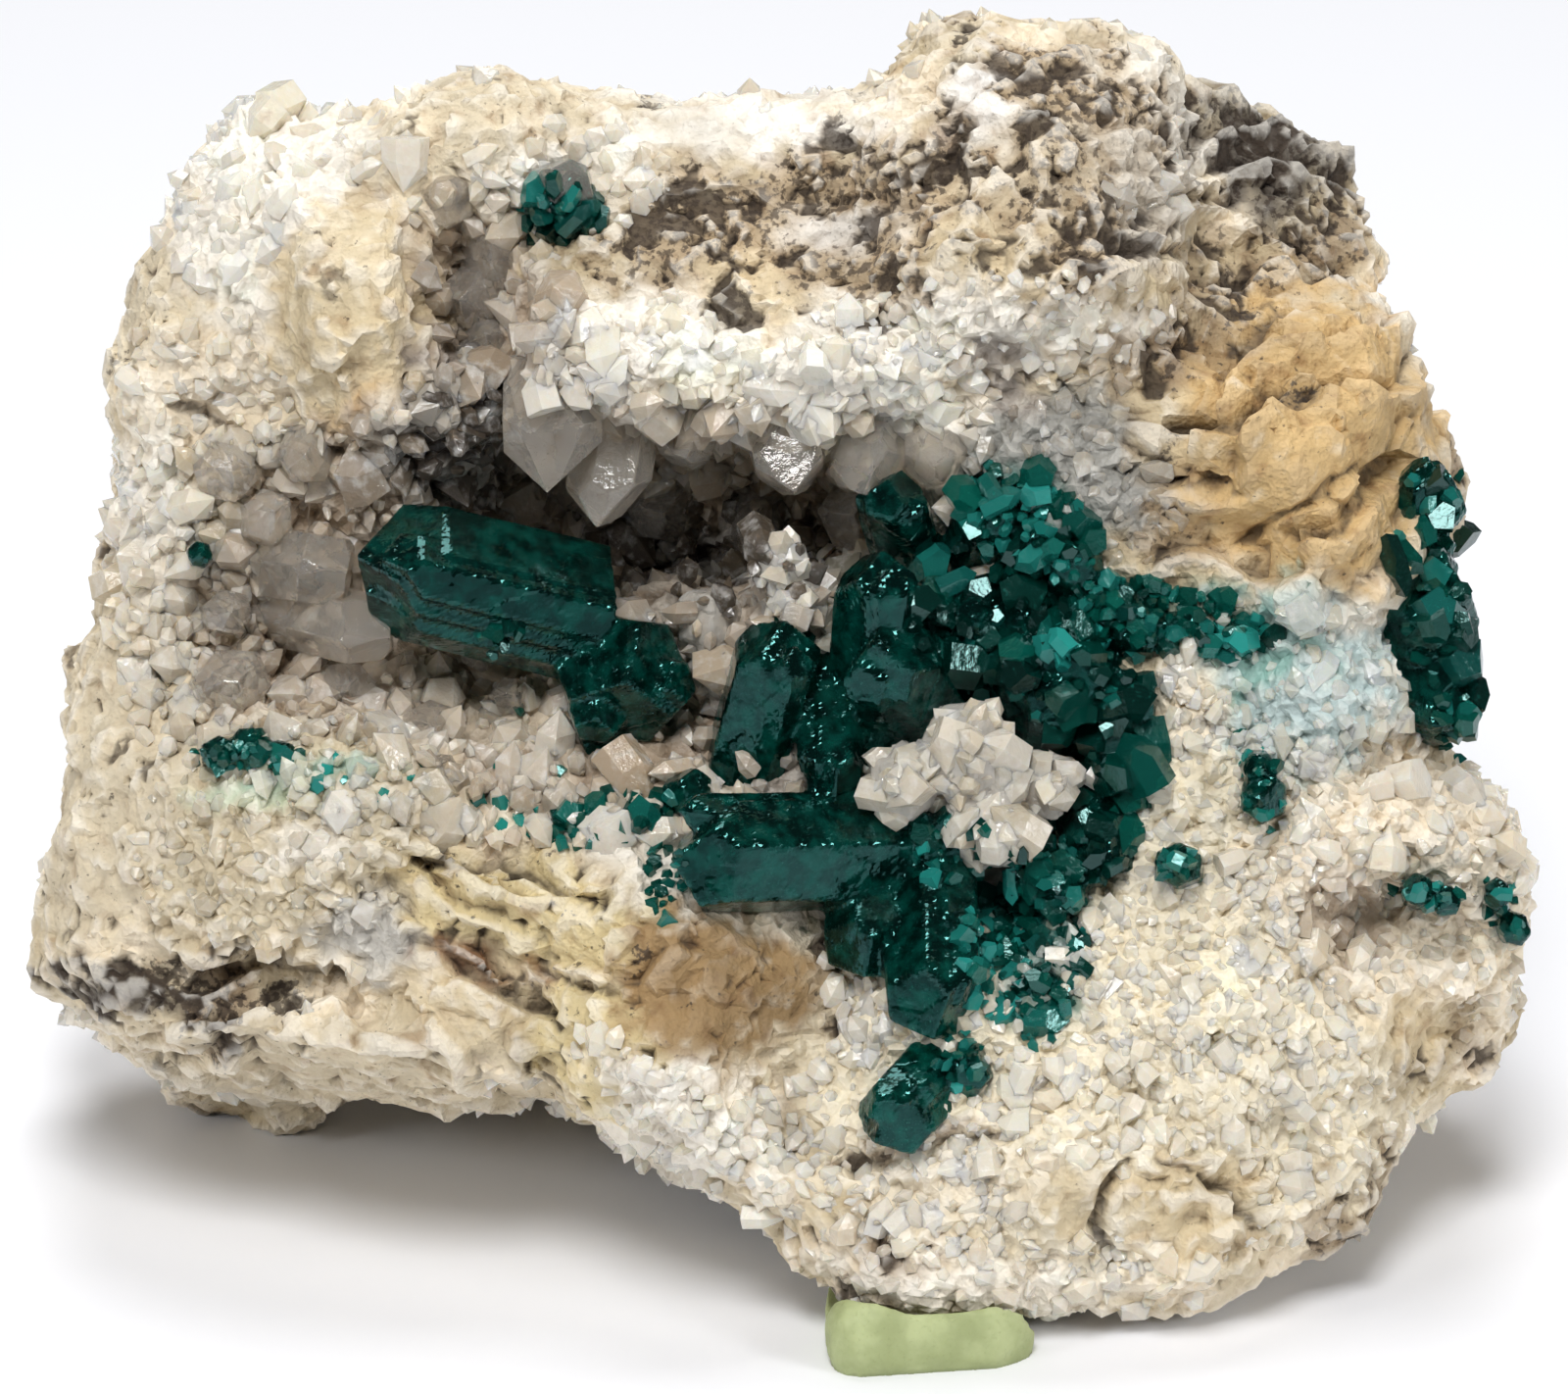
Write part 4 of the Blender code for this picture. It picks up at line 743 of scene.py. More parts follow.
# Each crystal as root, tip, half width over the corners and roll in degrees. Roots and tips are across, up
# and deep
dioptase = {
    "dioptase_pair": [
        ((-9.8, 4.6, 5.6), (-22.2, 7.6, 0.2), 3.70, 62),
        ((-8.4, 1.2, 13.0), (-8.0, 0.8, -0.4), 3.50, 20),
        ((-7.0, -3.0, 8.0), (-10.4, -2.2, 3.6), 1.20, 0),
    ],
    "dioptase_cluster": [
        ((-2.4, -5.6, 5.5), (0.2, 4.2, 0.2), 2.70, 0),
        ((4.0, -5.0, 6.0), (4.9, 7.9, -0.6), 2.45, 12),
        ((8.0, -2.0, 6.0), (4.6, 3.2, -2.2), 2.60, 40),
        ((2.3, 4.5, 6.0), (2.5, -5.4, -0.8), 1.75, 25),
        ((7.0, -8.0, 3.0), (-6.2, -8.2, -3.2), 3.15, 0),
        ((5.0, -6.5, 5.0), (4.0, -14.6, -1.6), 2.30, 15),
        ((7.2, -6.0, 5.0), (7.8, -17.8, -3.4), 2.95, 8),
        ((7.6, -9.5, 5.0), (8.4, -5.8, -1.4), 1.90, 30),
        ((6.6, 6.5, 6.0), (5.2, 11.4, -0.2), 1.90, 20),
        ((9.4, 0.5, 6.0), (8.8, 6.4, 0.8), 2.60, 35),
        ((12.2, 0.5, 6.5), (11.4, 6.8, 0.6), 2.40, 0),
        ((13.6, -2.0, 6.5), (14.4, 3.2, -1.4), 3.05, 10),
        ((16.4, -2.4, 6.0), (17.4, 1.4, -1.0), 2.20, 50),
        ((15.6, -4.4, 6.0), (18.4, -3.0, -0.8), 2.20, 5),
        ((15.4, -5.4, 6.0), (16.8, -8.6, -0.8), 2.10, 25),
        ((14.4, -11.0, 6.0), (13.0, -8.8, -1.4), 2.10, 15),
        ((11.2, -16.5, 4.5), (10.6, -11.8, -0.8), 1.80, 0),
        ((13.0, -18.0, 3.5), (13.2, -13.4, -2.2), 2.20, 35),
        ((10.0, 7.2, 5.5), (10.8, 10.8, -0.6), 2.00, 10),
        ((12.4, 6.0, 5.0), (13.2, 9.0, -0.8), 1.90, 40),
        ((14.6, 5.0, 4.5), (15.2, 7.8, -0.8), 1.60, 0),
        ((15.4, 3.4, 4.5), (16.2, 5.4, -0.4), 2.00, 20),
        ((17.8, 2.8, 4.5), (18.2, 4.8, -0.4), 1.80, 30),
        ((20.0, 2.2, 4.5), (20.8, 4.3, -0.2), 1.70, 0),
        ((22.0, 1.8, 4.5), (23.2, 3.4, 0.2), 1.40, 45),
        ((-4.0, -6.0, 4.5), (-5.4, -4.2, -0.2), 1.50, 10),
        ((-5.8, -7.2, 4.5), (-7.6, -6.6, -0.4), 1.40, 35),
        ((-7.6, -7.2, 4.5), (-9.8, -7.2, -0.4), 1.35, 0),
    ],
    "dioptase_lower_crystal": [
        ((9.6, -17.2, 2.0), (4.4, -23.0, -3.8), 2.25, 20),
        ((8.4, -20.6, 1.0), (10.0, -18.2, -3.4), 1.30, 0),
    ],
    "dioptase_edge_cluster": [
        ((30.5, 8.0, 9.0), (34.2, 11.4, 3.8), 1.90, 0),
        ((30.5, 6.0, 9.0), (34.0, 7.2, 4.4), 1.80, 30),
        ((30.0, 4.0, 9.0), (35.6, 5.2, 3.8), 3.10, 15),
        ((30.0, 2.0, 9.0), (34.9, 1.0, 4.2), 2.60, 40),
        ((31.0, 0.4, 9.0), (35.2, -1.6, 4.6), 1.90, 10),
    ],
    "dioptase_upper_crystal": [((-9.8, 24.4, 7.0), (-12.0, 25.2, 0.4), 1.90, 15)],
    "dioptase_chip_middle": [((20.4, -9.0, 3.5), (20.0, -8.4, -1.8), 1.30, 0)],
    "dioptase_chip_branch": [
        ((24.6, -5.4, 4.5), (24.4, -5.0, -1.8), 1.30, 0),
        ((23.8, -3.2, 4.5), (24.4, -3.8, -1.4), 1.00, 30),
    ],
    "dioptase_chip_right": [
        ((32.2, -10.0, 6.5), (32.4, -9.8, 0.4), 1.00, 10),
        ((33.4, -10.3, 6.5), (33.8, -10.4, 0.6), 0.90, 40),
    ],
    "dioptase_chip_far_right": [
        ((36.2, -10.2, 7.5), (36.4, -10.0, 2.2), 0.90, 0),
        ((37.0, -11.8, 7.5), (37.4, -11.8, 3.0), 0.95, 20),
    ],
    "dioptase_chip_left": [((-29.8, 7.2, 8.0), (-29.8, 7.3, 1.4), 0.80, 15)],
    "dioptase_chip_ledge": [
        ((-28.8, -3.0, 6.0), (-28.8, -2.8, 0.6), 1.00, 0),
        ((-27.2, -2.8, 6.0), (-27.2, -2.6, 0.4), 1.20, 30),
        ((-25.6, -3.2, 6.0), (-25.6, -3.2, 0.6), 1.00, 10),
    ],
}
dioptaseLook = {
    "seed": 100,
    "voxel": 0.20,
    "wear": ((0.30, 0.06), (1.3, 0.024)),   # how often chips and steps come, and how high they are
    "blocks": 4,              # smaller parallel blocks that step each large crystal
    "blockWidths": (0.35, 0.62),
    "blockDrops": (0.02, 0.32),
    "blockFrom": 1.7,         # half width of the smallest crystal that has them
}


def worn(mesh, look):  # a crystal surface with small steps and chips
    mesh = remeshed(mesh, look["voxel"])
    points, normals = pointsOf(mesh), normalsOf(mesh)
    move = np.full(len(points), -0.03)
    for often, height in look["wear"]:
        move += height * sampled(crag, points, often, 4.0)
    placePoints(mesh, points + normals * move[:, None])
    mesh.shade_flat()
    mesh.update()
    return mesh


def dioptaseMesh(rows, seed):
    look, dice = dioptaseLook, random.Random(seed)
    parts = []
    for root, tip, halfWidth, roll in rows:
        start, end = spot(*root), spot(*tip)
        run = end - start
        parts.append(standing(dioptaseShape(halfWidth, run.length, dice), start, end, roll))
        if halfWidth < look["blockFrom"]:
            continue
        side = run.normalized().orthogonal().normalized()
        for _ in range(look["blocks"]):
            width = halfWidth * dice.uniform(*look["blockWidths"])
            spin = Matrix.Rotation(dice.uniform(0, math.tau), 3, run.normalized())
            offset = spin @ side * (halfWidth * 1.02 - width * dice.uniform(0.75, 0.95))
            shorter = run * -dice.uniform(*look["blockDrops"])
            block = dioptaseShape(width, (run + shorter).length, dice)
            parts.append(standing(block, start + offset, end + offset + shorter, roll))
    return worn(fused(parts), look)


def dioptaseFinish():
    green = Finish("dioptase")
    veil, fleck = green.cloud(1.1, 4), green.cloud(0.28, 3)
    glints = green.step(green.cells(0.5) * -1.0, -0.16, -0.04) * green.step(veil, 0.45, 0.62)
    base = green.blend(rgba("032a25"), rgba("0f7365"), green.step(veil, 0.40, 0.68))
    # painted highlights: lighter teal spots and glints stand in for light caught in the crystals
    base = green.blend(base, rgba("1f9f8d"), (green.step(fleck, 0.62, 0.76) + glints) * 0.55)
    # bright teal specks: partly real specks on the faces, partly painted sparkle
    dust = green.step(green.cloud(0.10, 1), 0.68, 0.76) * green.step(fleck, 0.42, 0.60)
    base = green.blend(base, rgba("3fd8c2"), dust * 0.7)
    normal = green.bump(green.cloud(0.5, 2), 0.12, 0.08)
    rough = 0.04 + green.step(veil, 0.5, 0.8) * 0.12
    green.surface({"Base Color": base, "Roughness": rough, "Normal": normal, "IOR": 1.66})
    green.surface({"Transmission Weight": 0.8, "Specular IOR Level": 0.16})
    green.surface({"Specular Tint": (0.3, 0.9, 0.85, 1)})
    green.absorb("10a088", 330)
    return green.material


quartz = {
    "quartz_knob": [
        ((6.6, -4.4, 4.0), (6.0, -4.2, -3.2), 2.50, 10),
        ((9.6, -3.6, 4.5), (9.4, -2.0, -4.0), 2.90, 35),
        ((11.4, -4.4, 4.5), (14.6, -4.6, -2.2), 2.20, 0),
        ((9.8, -5.2, 4.5), (10.8, -7.2, -3.6), 2.40, 20),
        ((9.8, -6.6, 4.5), (12.0, -7.8, -2.6), 1.50, 45),
    ],
    "quartz_perch": [
        ((-0.2, 4.8, 7.0), (-0.4, 8.2, 0.4), 1.80, 10),
        ((-0.8, 4.4, 7.0), (1.6, 4.8, 0.6), 1.60, 30),
        ((-3.8, 2.6, 8.0), (-3.8, 5.2, 2.6), 2.00, 0),
        ((-4.0, 1.4, 8.0), (-2.2, 1.4, 2.2), 1.80, 25),
    ],
    "quartz_points": [
        ((-13.6, 22.2, 7.0), (-15.0, 23.4, 1.6), 2.60, 0),
        ((-14.8, 20.4, 7.0), (-16.8, 20.4, 2.4), 1.80, 30),
        ((-14.6, 17.8, 7.0), (-15.2, 18.4, 2.4), 1.90, 10),
        ((-11.0, 24.5, 5.0), (-12.0, 27.0, -0.2), 2.00, 20),
        ((-17.0, 25.0, 5.0), (-17.4, 25.6, 0.4), 1.60, 0),
        ((-11.6, 16.4, 4.0), (-11.9, 10.2, 0.4), 2.90, 0),
        ((-8.4, 14.4, 5.0), (-9.4, 8.2, 2.2), 2.30, 15),
        ((-5.0, 14.2, 6.0), (-5.0, 12.0, 2.0), 1.90, 30),
        ((-0.2, 14.2, 5.0), (0.6, 10.2, 0.6), 2.30, 10),
        ((4.6, 14.0, 5.0), (4.0, 10.2, 0.2), 2.30, 40),
        ((7.8, 13.6, 5.0), (7.8, 11.4, -0.4), 1.80, 0),
        ((-26.6, 7.0, 9.0), (-22.0, 6.2, 1.6), 2.10, 10),
        ((-26.0, 4.6, 9.0), (-19.8, 3.0, 1.6), 2.20, 30),
        ((-27.4, 8.8, 9.0), (-25.8, 9.4, 3.0), 1.50, 0),
        ((-28.6, 0.6, 9.0), (-27.8, 0.8, 2.4), 2.10, 20),
        ((-18.2, -2.2, 9.0), (-17.8, -1.4, 2.6), 1.90, 0),
        ((-18.0, -4.4, 6.0), (-17.6, -4.2, 0.2), 1.50, 25),
        ((-28.8, 4.2, 9.0), (-28.2, 4.4, 3.6), 1.30, 10),
        ((-24.6, 12.4, 8.0), (-24.2, 12.4, 1.8), 1.80, 30),
        ((-28.6, 11.6, 8.0), (-28.4, 11.4, 2.8), 1.70, 15),
        ((-15.6, 2.6, 12.0), (-15.4, 2.4, 5.6), 1.30, 0),
        ((-14.2, 0.2, 12.0), (-13.8, 0.0, 4.8), 1.30, 20),
        ((-22.4, 0.6, 11.0), (-22.2, 0.4, 4.2), 1.70, 40),
        ((-20.8, 11.8, 10.0), (-20.2, 11.8, 3.2), 1.70, 10),
        ((-12.6, -3.4, 10.0), (-12.2, -3.0, 3.4), 1.60, 30),
        ((-9.0, -4.8, 8.0), (-8.6, -4.4, 1.8), 1.50, 0),
        ((-6.4, 9.6, 20.0), (-6.0, 9.6, 11.0), 2.20, 15),
        ((-1.4, 9.4, 20.0), (-1.2, 9.0, 11.0), 2.20, 35),
        ((-10.4, 11.4, 20.0), (-10.2, 11.0, 11.0), 2.00, 5),
        ((3.6, 9.2, 17.0), (3.4, 9.2, 8.5), 1.90, 25),
    ],
}
quartzLook = {"seed": 200, "voxel": 0.22, "wear": ((0.5, 0.16), (1.3, 0.06))}


def quartzMesh(rows, seed):
    dice = random.Random(seed)
    parts = []
    for root, tip, halfWidth, roll in rows:
        start, end = spot(*root), spot(*tip)
        parts.append(standing(quartzShape(halfWidth, (end - start).length, dice), start, end, roll))
    return fused(parts)


def clearQuartzFinish(name, code, milk):
    clear = Finish(name)
    veil, fine = clear.cloud(1.4, 4), clear.cloud(0.3, 3)
    base = clear.blend(rgba(code), rgba("fffdf8"), clear.step(veil, 0.50, 0.7) * 0.6)
    base = clear.blend(base, rgba("cdb698"), clear.step(1 - veil, 0.60, 0.74) * 0.5)
    normal = clear.bump(clear.cloud(0.9, 4), 0.5, 0.16)
    rough = 0.02 + clear.step(fine, 0.52, 0.75) * 0.12
    clear.surface({"Base Color": base, "Roughness": rough, "Normal": normal, "IOR": 1.544})
    clear.surface({"Transmission Weight": 1 - milk})
    clear.absorb("e0d4c2", 24)
    return clear.material


# The small crystals, scattered as instances that are then made real


def seedMesh(name, seeds):  # one point for each small crystal
    bm = bmesh.new()
    turns = bm.verts.layers.float_vector.new("turn")
    sizes = bm.verts.layers.float_vector.new("size")
    kinds = bm.verts.layers.int.new("kind")
    tones = bm.verts.layers.float_color.new("tone")
    for place, direction, roll, size, kind, tone in seeds:
        vert = bm.verts.new(place)
        turn = direction.to_track_quat("Z", "Y").to_matrix() @ Matrix.Rotation(roll, 3, "Z")
        vert[turns] = Vector(turn.to_euler())
        vert[sizes] = Vector(size)
        vert[kinds] = kind
        vert[tones] = (*tone, 1)
    return meshOf(bm, name)


def scatterTree(shapes):  # puts one of the shapes on each point
    tree = bpy.data.node_groups.new("scatter", "GeometryNodeTree")
    tree.interface.new_socket("Geometry", in_out="INPUT", socket_type="NodeSocketGeometry")
    tree.interface.new_socket("Geometry", in_out="OUTPUT", socket_type="NodeSocketGeometry")

    def add(kind, **settings):
        made = tree.nodes.new(kind)
        for name, value in settings.items():
            setattr(made, name, value)
        return made

    def named(name, kind):
        made = add("GeometryNodeInputNamedAttribute", data_type=kind)
        made.inputs["Name"].default_value = name
        return next(output for output in made.outputs if output.enabled)

    start, end = add("NodeGroupInput"), add("NodeGroupOutput")
    shapeNode = add("GeometryNodeCollectionInfo")
    shapeNode.inputs["Collection"].default_value = shapes
    shapeNode.inputs["Separate Children"].default_value = True
    placed = add("GeometryNodeInstanceOnPoints")
    placed.inputs["Pick Instance"].default_value = True
    turn = add("FunctionNodeEulerToRotation")
    real = add("GeometryNodeRealizeInstances")
    links = tree.links
    links.new(start.outputs[0], placed.inputs["Points"])
    links.new(shapeNode.outputs[0], placed.inputs["Instance"])
    links.new(named("kind", "INT"), placed.inputs["Instance Index"])
    links.new(named("turn", "FLOAT_VECTOR"), turn.inputs[0])
    links.new(turn.outputs[0], placed.inputs["Rotation"])
    links.new(named("size", "FLOAT_VECTOR"), placed.inputs["Scale"])
    links.new(placed.outputs[0], real.inputs[0])
    links.new(real.outputs[0], end.inputs[0])
    return tree


def shapeSet(name, makers):  # the shapes that a scatter picks from
    group = bpy.data.collections.new(name)
    for i, bm in enumerate(makers):
        bmesh.ops.recalc_face_normals(bm, faces=bm.faces[:])
        group.objects.link(bpy.data.objects.new(f"{name}{i:02d}", meshOf(bm)))
    return group


def scattered(name, seeds, shapes):
    return applied(seedMesh(name, seeds), "NODES", {"node_group": scatterTree(shapes)})


def stubQuartz(seed):  # half width 1, with its point at the origin and its foot below
    habit, dice = stubHabit, random.Random(seed)
    bm = prism(1.0, habit["length"], habit, dice)
    top = max(bm.faces, key=lambda face: face.calc_center_median().z)
    for vert in top.verts:
        vert.co.z -= habit["shoulder"] + dice.uniform(*habit["shoulderWander"])
    point = bmesh.ops.poke(bm, faces=[top])["verts"][0]
    across, over = dice.uniform(*habit["pointWander"]), dice.uniform(*habit["pointWander"])
    point.co = (across, over, habit["length"])
    bmesh.ops.translate(bm, verts=bm.verts[:], vec=(0, 0, -habit["length"]))
    return bm


def stubDioptase(seed):  # the same in dioptase, with its tip just above the origin
    bm = dioptaseShape(1.0, stubHabit["length"], random.Random(seed), 0)
    bmesh.ops.translate(bm, verts=bm.verts[:], vec=(0, 0, 0.3 - stubHabit["length"]))
    return bm


def leaning(direction, amount, dice):  # turned a little to a side that nothing decides
    return (direction + Vector([dice.gauss(0, amount) for _ in range(3)])).normalized()


def toward(tone, code, share):  # part of the way to another colour
    return tone + (colour(code) - tone) * share


def limited(share):
    return min(1.0, max(0.0, share))


# Zones of small quartz: across, up, half widths, turn, spacing, half widths of the crystals, how far they
# rise and how white they are
quartzZones = {
    "hollow": (-12.0, 4.6, 22.5, 12.0, 0, 1.40, (0.60, 1.60), (0.8, 2.0), 0.20),
    "hollow fine": (-12.0, 4.6, 22.0, 12.0, 0, 0.9, (0.30, 0.60), (0.5, 1.1), 0.35),
    "left rim": (-30.5, 5.0, 4.0, 9.0, 0, 0.9, (0.4, 0.9), (0.5, 1.2), 0.4),
    "alcove": (-15.2, 19.6, 4.6, 7.0, 14, 1.2, (0.5, 1.4), (0.8, 1.6), 0.05),
    "upper left": (-26.0, 26.0, 7.5, 5.4, 0, 1.05, (0.55, 1.35), (0.3, 0.9), 0.95),
    "left shoulder": (-29.0, 16.0, 5.0, 3.6, 0, 0.9, (0.4, 0.8), (0.3, 0.8), 0.5),
    "lip over": (-11.0, 26.5, 5.0, 2.8, 0, 1.0, (0.5, 1.0), (0.4, 1.0), 0.7),
    "lip": (-4.0, 15.6, 13.5, 4.8, 3, 0.90, (0.40, 1.3), (0.3, 1.0), 0.6),
    "lip edge": (-2.0, 12.8, 12.5, 2.0, 2, 1.1, (0.6, 1.5), (0.6, 1.8), 0.30),
    "lip left": (-13.0, 18.6, 2.6, 5.6, 8, 0.85, (0.35, 1.0), (0.3, 0.8), 0.5),
    "grey quartz": (14.5, 11.0, 5.8, 6.2, -15, 0.85, (0.4, 0.9), (0.2, 0.6), 0.10),
    "white band": (10.0, 18.8, 10.0, 2.8, 4, 0.8, (0.3, 0.9), (0.2, 0.6), 0.9),
    "white sheet": (26.0, 0.4, 6.8, 5.0, 0, 0.8, (0.4, 0.9), (0.2, 0.6), 0.3),
    "left slab": (-24.8, -6.8, 8.6, 5.6, 14, 0.75, (0.3, 0.9), (0.2, 0.6), 0.02),
    "right slope": (20.5, -9.6, 7.0, 10.0, 0, 0.64, (0.30, 0.72), (0.15, 0.5), 0.4),
    "right mass": (31.5, -9.5, 8.0, 8.5, 0, 0.85, (0.35, 1.1), (0.2, 0.7), 0.4),
    "lower mass": (15.5, -20.5, 17.0, 9.0, 0, 0.75, (0.32, 0.95), (0.15, 0.6), 0.5),
    "chin": (10.5, -28.6, 11.5, 4.2, -4, 0.9, (0.4, 1.1), (0.2, 0.7), 0.6),
    "white rim": (-4.0, -21.4, 7.8, 2.6, -34, 0.75, (0.4, 0.8), (0.3, 0.8), 0.9),
    "white tip": (3.8, -15.0, 2.4, 3.6, 0, 0.75, (0.4, 0.8), (0.3, 0.9), 0.8),
    "knob": (9.6, -4.4, 5.6, 4.0, 0, 0.62, (0.5, 1.4), (0.2, 0.8), 0.25),
    "perch": (0.2, 6.4, 2.0, 2.4, 0, 0.62, (0.5, 1.2), (0.2, 0.8), 0.7),
}
# Grounds that keep their own bare surface, with no small quartz on them
bareGrounds = [
    (20.4, -26.0, 4.0, 2.8, 0), (14.6, -25.6, 2.4, 2.6, 0), (31.8, -17.0, 2.2, 2.0, 20),
    (-1.6, 20.6, 3.4, 1.8, -15), (19.0, 14.2, 2.0, 3.0, 20), (-3.4, -15.0, 6.6, 4.6, -25),
    (-12.8, -10.6, 8.0, 2.8, -14), (-22.2, 20.2, 4.4, 6.2, 0), (26.5, 13.0, 7.0, 8.4, 0),
]
# Zones of small dioptase: the same, and how bright and how turquoise they are
dioptaseZones = {
    "upper seam": (12.4, 8.8, 4.0, 2.4, -35, 0.58, (0.28, 0.80), (0.3, 0.8), 0.55, 0.45),
    "upper mass": (10.4, 4.4, 4.2, 3.6, 0, 0.85, (0.35, 1.00), (0.3, 0.8), 0.10, 0.10),
    "right seam": (20.0, 4.0, 5.2, 1.6, -14, 0.50, (0.26, 0.62), (0.3, 0.7), 0.40, 0.30),
    "right chunk": (14.2, 0.8, 4.4, 2.8, -5, 0.85, (0.40, 1.10), (0.2, 0.7), 0.30, 0.20),
    "right chain": (17.0, -4.6, 2.0, 4.2, -10, 0.80, (0.40, 1.00), (0.2, 0.7), 0.30, 0.10),
    "granular": (13.2, -12.0, 2.2, 5.8, 0, 0.46, (0.26, 0.62), (0.2, 0.6), 0.35, 0.15),
    "plates": (10.7, -13.0, 1.6, 3.6, 0, 0.52, (0.28, 0.66), (0.2, 0.5), 0.60, 0.80),
    "knob foot": (8.6, -8.0, 2.4, 1.6, 10, 0.60, (0.30, 0.70), (0.2, 0.6), 0.50, 0.40),
    "left chain": (-8.8, -6.2, 3.6, 1.2, 16, 0.50, (0.30, 0.65), (0.3, 0.8), 0.55, 0.20),
    "left end": (-6.0, -9.0, 1.0, 2.4, 0, 0.50, (0.25, 0.55), (0.2, 0.5), 0.50, 0.30),
    "ledge": (-27.4, -3.1, 2.9, 0.7, 0, 0.42, (0.22, 0.48), (0.2, 0.5), 0.55, 0.35),
    "ledge trail": (-21.6, -4.0, 3.2, 0.8, -8, 0.70, (0.25, 0.50), (0.1, 0.3), 0.80, 1.10),
    "trail right": (-14.6, -5.8, 2.6, 0.9, -18, 0.90, (0.25, 0.55), (0.1, 0.4), 0.80, 0.90),
    "sparkle": (14.6, 3.1, 1.9, 1.0, 0, 0.60, (0.40, 0.80), (0.3, 0.5), 1.00, 2.50),
    "sparkle right": (22.1, 2.9, 1.1, 0.6, 0, 0.60, (0.40, 0.70), (0.3, 0.5), 1.00, 2.50),
    "edge": (34.0, 5.0, 2.6, 6.8, 8, 0.85, (0.40, 1.10), (0.3, 0.8), 0.30, 0.20),
    "edge foot": (35.0, -1.6, 1.6, 1.8, -30, 0.50, (0.30, 0.60), (0.3, 0.7), 0.50, 0.40),
    "branch": (24.2, -4.2, 1.2, 2.8, 15, 0.75, (0.25, 0.50), (0.2, 0.5), 0.70, 0.50),
    "right flecks": (32.8, -10.0, 1.9, 0.7, -12, 0.60, (0.25, 0.45), (0.2, 0.4), 0.60, 0.40),
    "far flecks": (36.6, -10.8, 1.0, 1.8, 20, 0.60, (0.30, 0.55), (0.2, 0.5), 0.45, 0.40),
    "middle fleck": (20.0, -8.6, 1.1, 0.9, 30, 0.55, (0.30, 0.60), (0.2, 0.5), 0.60, 0.30),
    "alcove": (-11.6, 24.7, 2.3, 1.5, 0, 0.62, (0.35, 0.80), (0.3, 0.9), 0.15, 0.15),
    "pair foot": (-14.6, 2.9, 1.0, 0.9, 0, 0.50, (0.30, 0.60), (0.2, 0.5), 0.50, 0.20),
    "flecks": (-15.0, -3.0, 4.4, 3.0, 0, 2.60, (0.20, 0.38), (0.2, 0.4), 0.80, 0.60),
    "lower foot": (9.0, -18.6, 1.2, 1.6, 0, 0.55, (0.30, 0.60), (0.2, 0.6), 0.50, 0.20),
}
druseLook = {
    "shapes": 8,
    "seed": 11,
    "lean": 0.5,
    "own": "bdb4a0",        # the tone of small quartz on the knob and the perch
    "white": "fff6e8",
}
backLook = {
    "seed": 23,
    "count": 3200,
    "lean": 0.35,
    "widths": (0.4, 0.95),
    "rises": (0.2, 0.7),
    "tone": "f2ede4",
}
fleckLook = {
    "shapes": 5,
    "seed": 17,
    "lean": 0.5,
    "deep": "022721",
    "bright": "0a6b5c",
    "turquoise": "35b5aa",
}


def landing(tree, across, up):  # where the line of sight through this place meets the surface
    through = spot(across, up, 0.0)
    return tree.ray_cast(eye, (through - eye).normalized())[:2]


def zoneSpots(zone, spacing, dice):  # places in an oval, none closer than the spacing
    halfAcross, halfUp = zone[2], zone[3]
    cosine, sine = math.cos(math.radians(zone[4])), math.sin(math.radians(zone[4]))
    cells = {}
    found = []
    for _ in range(int(5 * math.pi * halfAcross * halfUp / spacing ** 2)):
        share, bearing = math.sqrt(dice.random()), dice.uniform(0, math.tau)
        x, y = share * halfAcross * math.cos(bearing), share * halfUp * math.sin(bearing)
        place = (zone[0] + x * cosine - y * sine, zone[1] + x * sine + y * cosine)
        cell = (int(place[0] // spacing), int(place[1] // spacing))
        near = (cells.get((cell[0] + i, cell[1] + j), ()) for i in (-1, 0, 1) for j in (-1, 0, 1))
        if any(math.dist(place, other) < spacing for group in near for other in group):
            continue
        cells.setdefault(cell, []).append(place)
        found.append(place)
    return found


def quartzSeeds(rockTree):
    dice = random.Random(druseLook["seed"])
    raw = []
    for name, (*zone, spacing, widths, rises, white) in quartzZones.items():
        for across, up in zoneSpots(zone, spacing, dice):
            if any(shareOf(across, up, bare) < 1 for bare in bareGrounds):
                continue
            place, normal = landing(rockTree, across, up)
            if place is None:
                continue
            direction = leaning(normal - away * 0.15, druseLook["lean"], dice)
            width = widths[0] + (widths[1] - widths[0]) * dice.random() ** 1.8
            rise = dice.uniform(*rises)
            roll, kind = dice.uniform(0, math.tau), dice.randrange(druseLook["shapes"])
            raw.append((place, direction, width, rise, white, roll, kind, name in ("knob", "perch")))
    ground = groundAt(np.array([row[0] for row in raw]))[:, :3]
    seeds = []
    for (place, direction, width, rise, white, roll, kind, own), tone in zip(raw, ground):
        if own:
            tone = colour(druseLook["own"])
        share = limited(0.15 + white + dice.gauss(0, 0.16)) * min(1.0, tone[1] * 2.4)
        tone = toward(tone, druseLook["white"], share * 0.85)
        tone = np.minimum(tone, 0.97) ** 0.75
        shade, warmth = 0.86 + 0.18 * (roll * 3.7 % 1), roll * 5.3 % 1
        tone = tone * shade * (1 - np.array([0.0, 0.06, 0.16]) * warmth)
        flat = 0.6 + 0.7 * (roll % 1)
        seeds.append((place + direction * rise, direction, roll, (width * flat, width, width), kind, tone))
    return seeds


